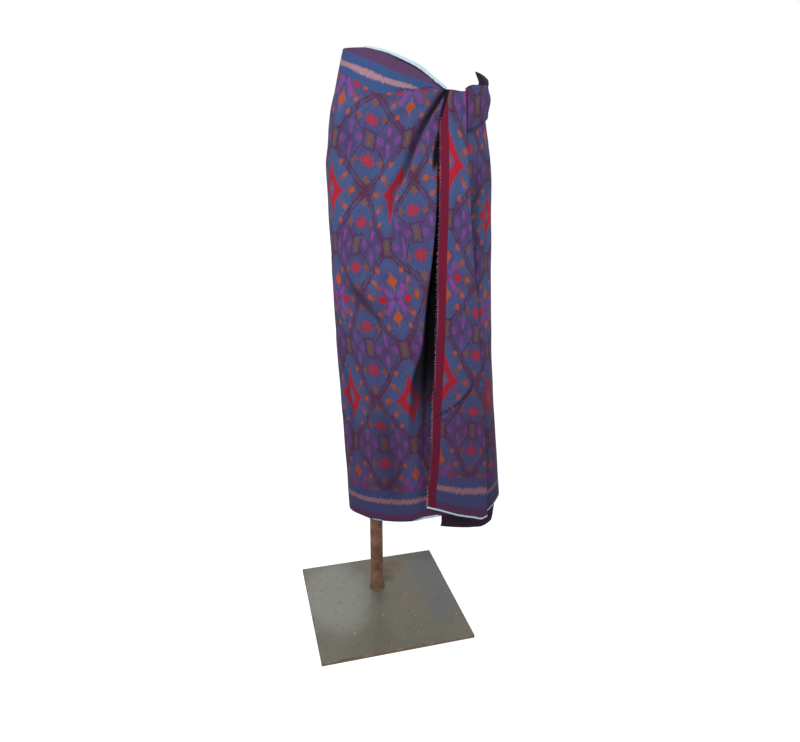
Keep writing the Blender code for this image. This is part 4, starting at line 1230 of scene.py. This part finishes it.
weld_rust = rusted("weld_rust", (40, 26, 20), (72, 46, 32), (104, 72, 48), 120.0, 0.2)
WELD_RIPPLES = 22.0
WELD_DIP = 0.022
weld_low, weld_high, weld_radius = round_size(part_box("weld_bead"))
weld = turned_piece(
    "weld_run",
    (
        (pole_radius + BORE_GAP, weld_low),
        (weld_radius, weld_low),
        (weld_radius - 0.0001, weld_low + 0.0012),
        (weld_radius - 0.0012, weld_low + 0.0026),
        (pole_radius + 0.0016, weld_high - 0.0006),
        (pole_radius + BORE_GAP, weld_high),
        (pole_radius + BORE_GAP, weld_low),
    ),
    weld_rust,
)
for vert in weld.data.vertices:
    turn = math.atan2(vert.co.y - POLE_BACK, vert.co.x)
    reach = math.hypot(vert.co.x, vert.co.y - POLE_BACK)
    if reach > pole_radius + 0.001 and vert.co.z > weld_low + 0.0005:
        ripple = math.cos(WELD_RIPPLES * turn + 0.6 * math.sin(3.0 * turn))
        scallop = 1.0 - WELD_DIP * (0.5 + 0.5 * ripple)
        vert.co.x *= scallop
        vert.co.y = POLE_BACK + (vert.co.y - POLE_BACK) * scallop
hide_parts("weld_bead")
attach(weld, "root")

collar_steel = rusted("collar_steel", (84, 80, 76), (140, 138, 134), (176, 174, 170), 60.0, 0.85)
COLLAR_NECK = 0.0215
collar_low, collar_high, collar_radius = round_size(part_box("pole_collar"))
collar = turned_piece(
    "form_collar",
    (
        (pole_radius + BORE_GAP, collar_low),
        (COLLAR_NECK - 0.0006, collar_low),
        (COLLAR_NECK, collar_low + 0.0006),
        (COLLAR_NECK, collar_high - 0.0046),
        (COLLAR_NECK + 0.0007, collar_high - 0.004),
        (collar_radius - 0.0005, collar_high - 0.004),
        (collar_radius, collar_high - 0.0035),
        (collar_radius, collar_high - 0.0005),
        (collar_radius - 0.0005, collar_high),
        (pole_radius + BORE_GAP, collar_high),
        (pole_radius + BORE_GAP, collar_low),
    ),
    collar_steel,
)
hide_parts("pole_collar")
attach(collar, "root")

# The base plate: a square of hot rolled steel, cut and left bare. It is grey-green with tan patches
# and pale specks, and its edges have chipped and rusted. A dark oval from the pole's foot towards the
# back right is painted shadow of the pole.
plate_skin, plate_tree, plate_shader = new_finish("bare_plate")
plate_place = own_space(plate_tree)
PLATE_HALF = 0.18


def plate_noise(scale, detail):
    """Noise through the plate."""
    return space_noise(plate_tree, plate_place, scale, detail)


plate_stain_and_shadow = ColourLayers(plate_tree, seen_colour(90, 88, 78))
cloud = plate_noise(9.0, 4.0)
plate_x, plate_y, plate_z = parts_of(plate_tree, plate_place)
drift_x = plate_x + cloud * 0.1
drift_y = plate_y + plate_noise(11.0, 3.0) * 0.08
plate_stain_and_shadow.lay(seen_colour(98, 95, 80), (cloud * -1.0).within(-0.03, 0.12), 0.6)
plate_stain_and_shadow.lay(seen_colour(80, 79, 72), plate_noise(16.0, 3.0).within(-0.08, 0.1), 0.4)
# Patches: paler grey on the left, darker grey on the right and in the far right corner, brown behind the
# pole.
for colour, spot, strength in (
    ((120, 121, 117), (-0.115, 0.045, 0.085, 0.14, 0.7), 0.75),
    ((78, 82, 90), (0.15, 0.02, 0.05, 0.15, 0.7), 0.55),
    ((70, 68, 70), (0.15, 0.165, 0.06, 0.03, 0.7), 0.5),
    ((98, 76, 58), (0.06, 0.125, 0.034, 0.026, 0.6), 0.6),
):
    plate_stain_and_shadow.lay(seen_colour(*colour), oval(drift_x, drift_y, *spot), strength)
# Painted shadow of the pole: a dark oval from its foot towards the back right.
plate_stain_and_shadow.lay(seen_colour(58, 48, 38), oval(plate_x, plate_y, 0.028, 0.082, 0.026, 0.014, 0.8), 0.5)
plate_stain_and_shadow.lay(seen_colour(112, 96, 74), (plate_noise(26.0, 3.0) * -1.0).within(-0.16, 0.05), 0.35)
plate_stain_and_shadow.lay(seen_colour(168, 164, 146), (plate_noise(150.0, 1.0) * -1.0).within(-0.275, 0.012), 0.9)
plate_edge = plate_x.size().join("MAXIMUM", plate_y.size()).short_of(PLATE_HALF)
plate_edge = plate_edge + plate_noise(60.0, 4.0) * 0.012
plate_stain_and_shadow.lay(seen_colour(66, 42, 30), plate_edge.within(0.0006, 0.0012), 0.85)
plate_side = (plate_z + plate_noise(90.0, 4.0) * 0.006).within(0.0068, 0.001)
plate_stain_and_shadow.lay(seen_colour(84, 62, 46), plate_side, 0.8)
plate_varied = {"Base Color": plate_stain_and_shadow.socket, "Roughness": (cloud * 0.5 + 0.52).socket}
set_looks(plate_tree, plate_shader, plate_varied, {"Metallic": 0.35})
raise_grain(plate_tree, plate_shader, plate_noise(140.0, 4.0), 0.25, 0.0006)
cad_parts["base_plate"].material_slots[0].material = plate_skin

# The room: a pale floor, a white surround, one large soft light high on the left in front, a weaker
# one on the right, and the camera where the photograph was taken from.
bpy.ops.object.select_all(action="DESELECT")
bpy.ops.mesh.primitive_plane_add(size=60.0, location=(0.0, 0.0, 0.0))
floor = bpy.context.object
floor.name = "studio_floor"
WHITE = (1.0, 1.0, 1.0, 1.0)
paint, paint_tree, paint_shader = new_finish("white_floor")
set_looks(paint_tree, paint_shader, {}, {
    "Base Color": (0.35, 0.35, 0.35, 1.0),
    "Roughness": 0.95,
    "Emission Color": WHITE,
    "Emission Strength": 0.72,
})
floor.data.materials.append(paint)

world = bpy.data.worlds.new("white_surround")
world.use_nodes = True
world.node_tree.nodes["Background"].inputs["Color"].default_value = WHITE
world.node_tree.nodes["Background"].inputs["Strength"].default_value = 1.0
bpy.context.scene.world = world

Lamp = namedtuple("Lamp", "name place aim size power")
for lamp in (
    Lamp("key_light", (-1.3, -2.0, 2.6), (0.07, 0.0, 1.0), 1.1, 92.0),
    Lamp("side_fill", (2.2, -1.2, 1.9), (0.07, 0.0, 0.9), 1.6, 18.0),
):
    light = bpy.data.lights.new(lamp.name, "AREA")
    light.energy = lamp.power
    light.size = lamp.size
    holder = bpy.data.objects.new(lamp.name, light)
    holder.location = lamp.place
    aim = Vector(lamp.aim) - Vector(lamp.place)
    holder.rotation_euler = aim.to_track_quat("-Z", "Y").to_euler()
    bpy.context.scene.collection.objects.link(holder)

lens = bpy.data.cameras.new("photo_camera")
lens.lens = 29.25
lens.sensor_width = 36.0
camera = bpy.data.objects.new("photo_camera", lens)
camera.location = (-0.309, -1.3484, 1.0715)
camera.rotation_euler = (math.radians(71.81), 0.0, math.radians(-14.77))
bpy.context.scene.collection.objects.link(camera)
bpy.context.scene.camera = camera
bpy.context.scene.view_settings.view_transform = "Standard"
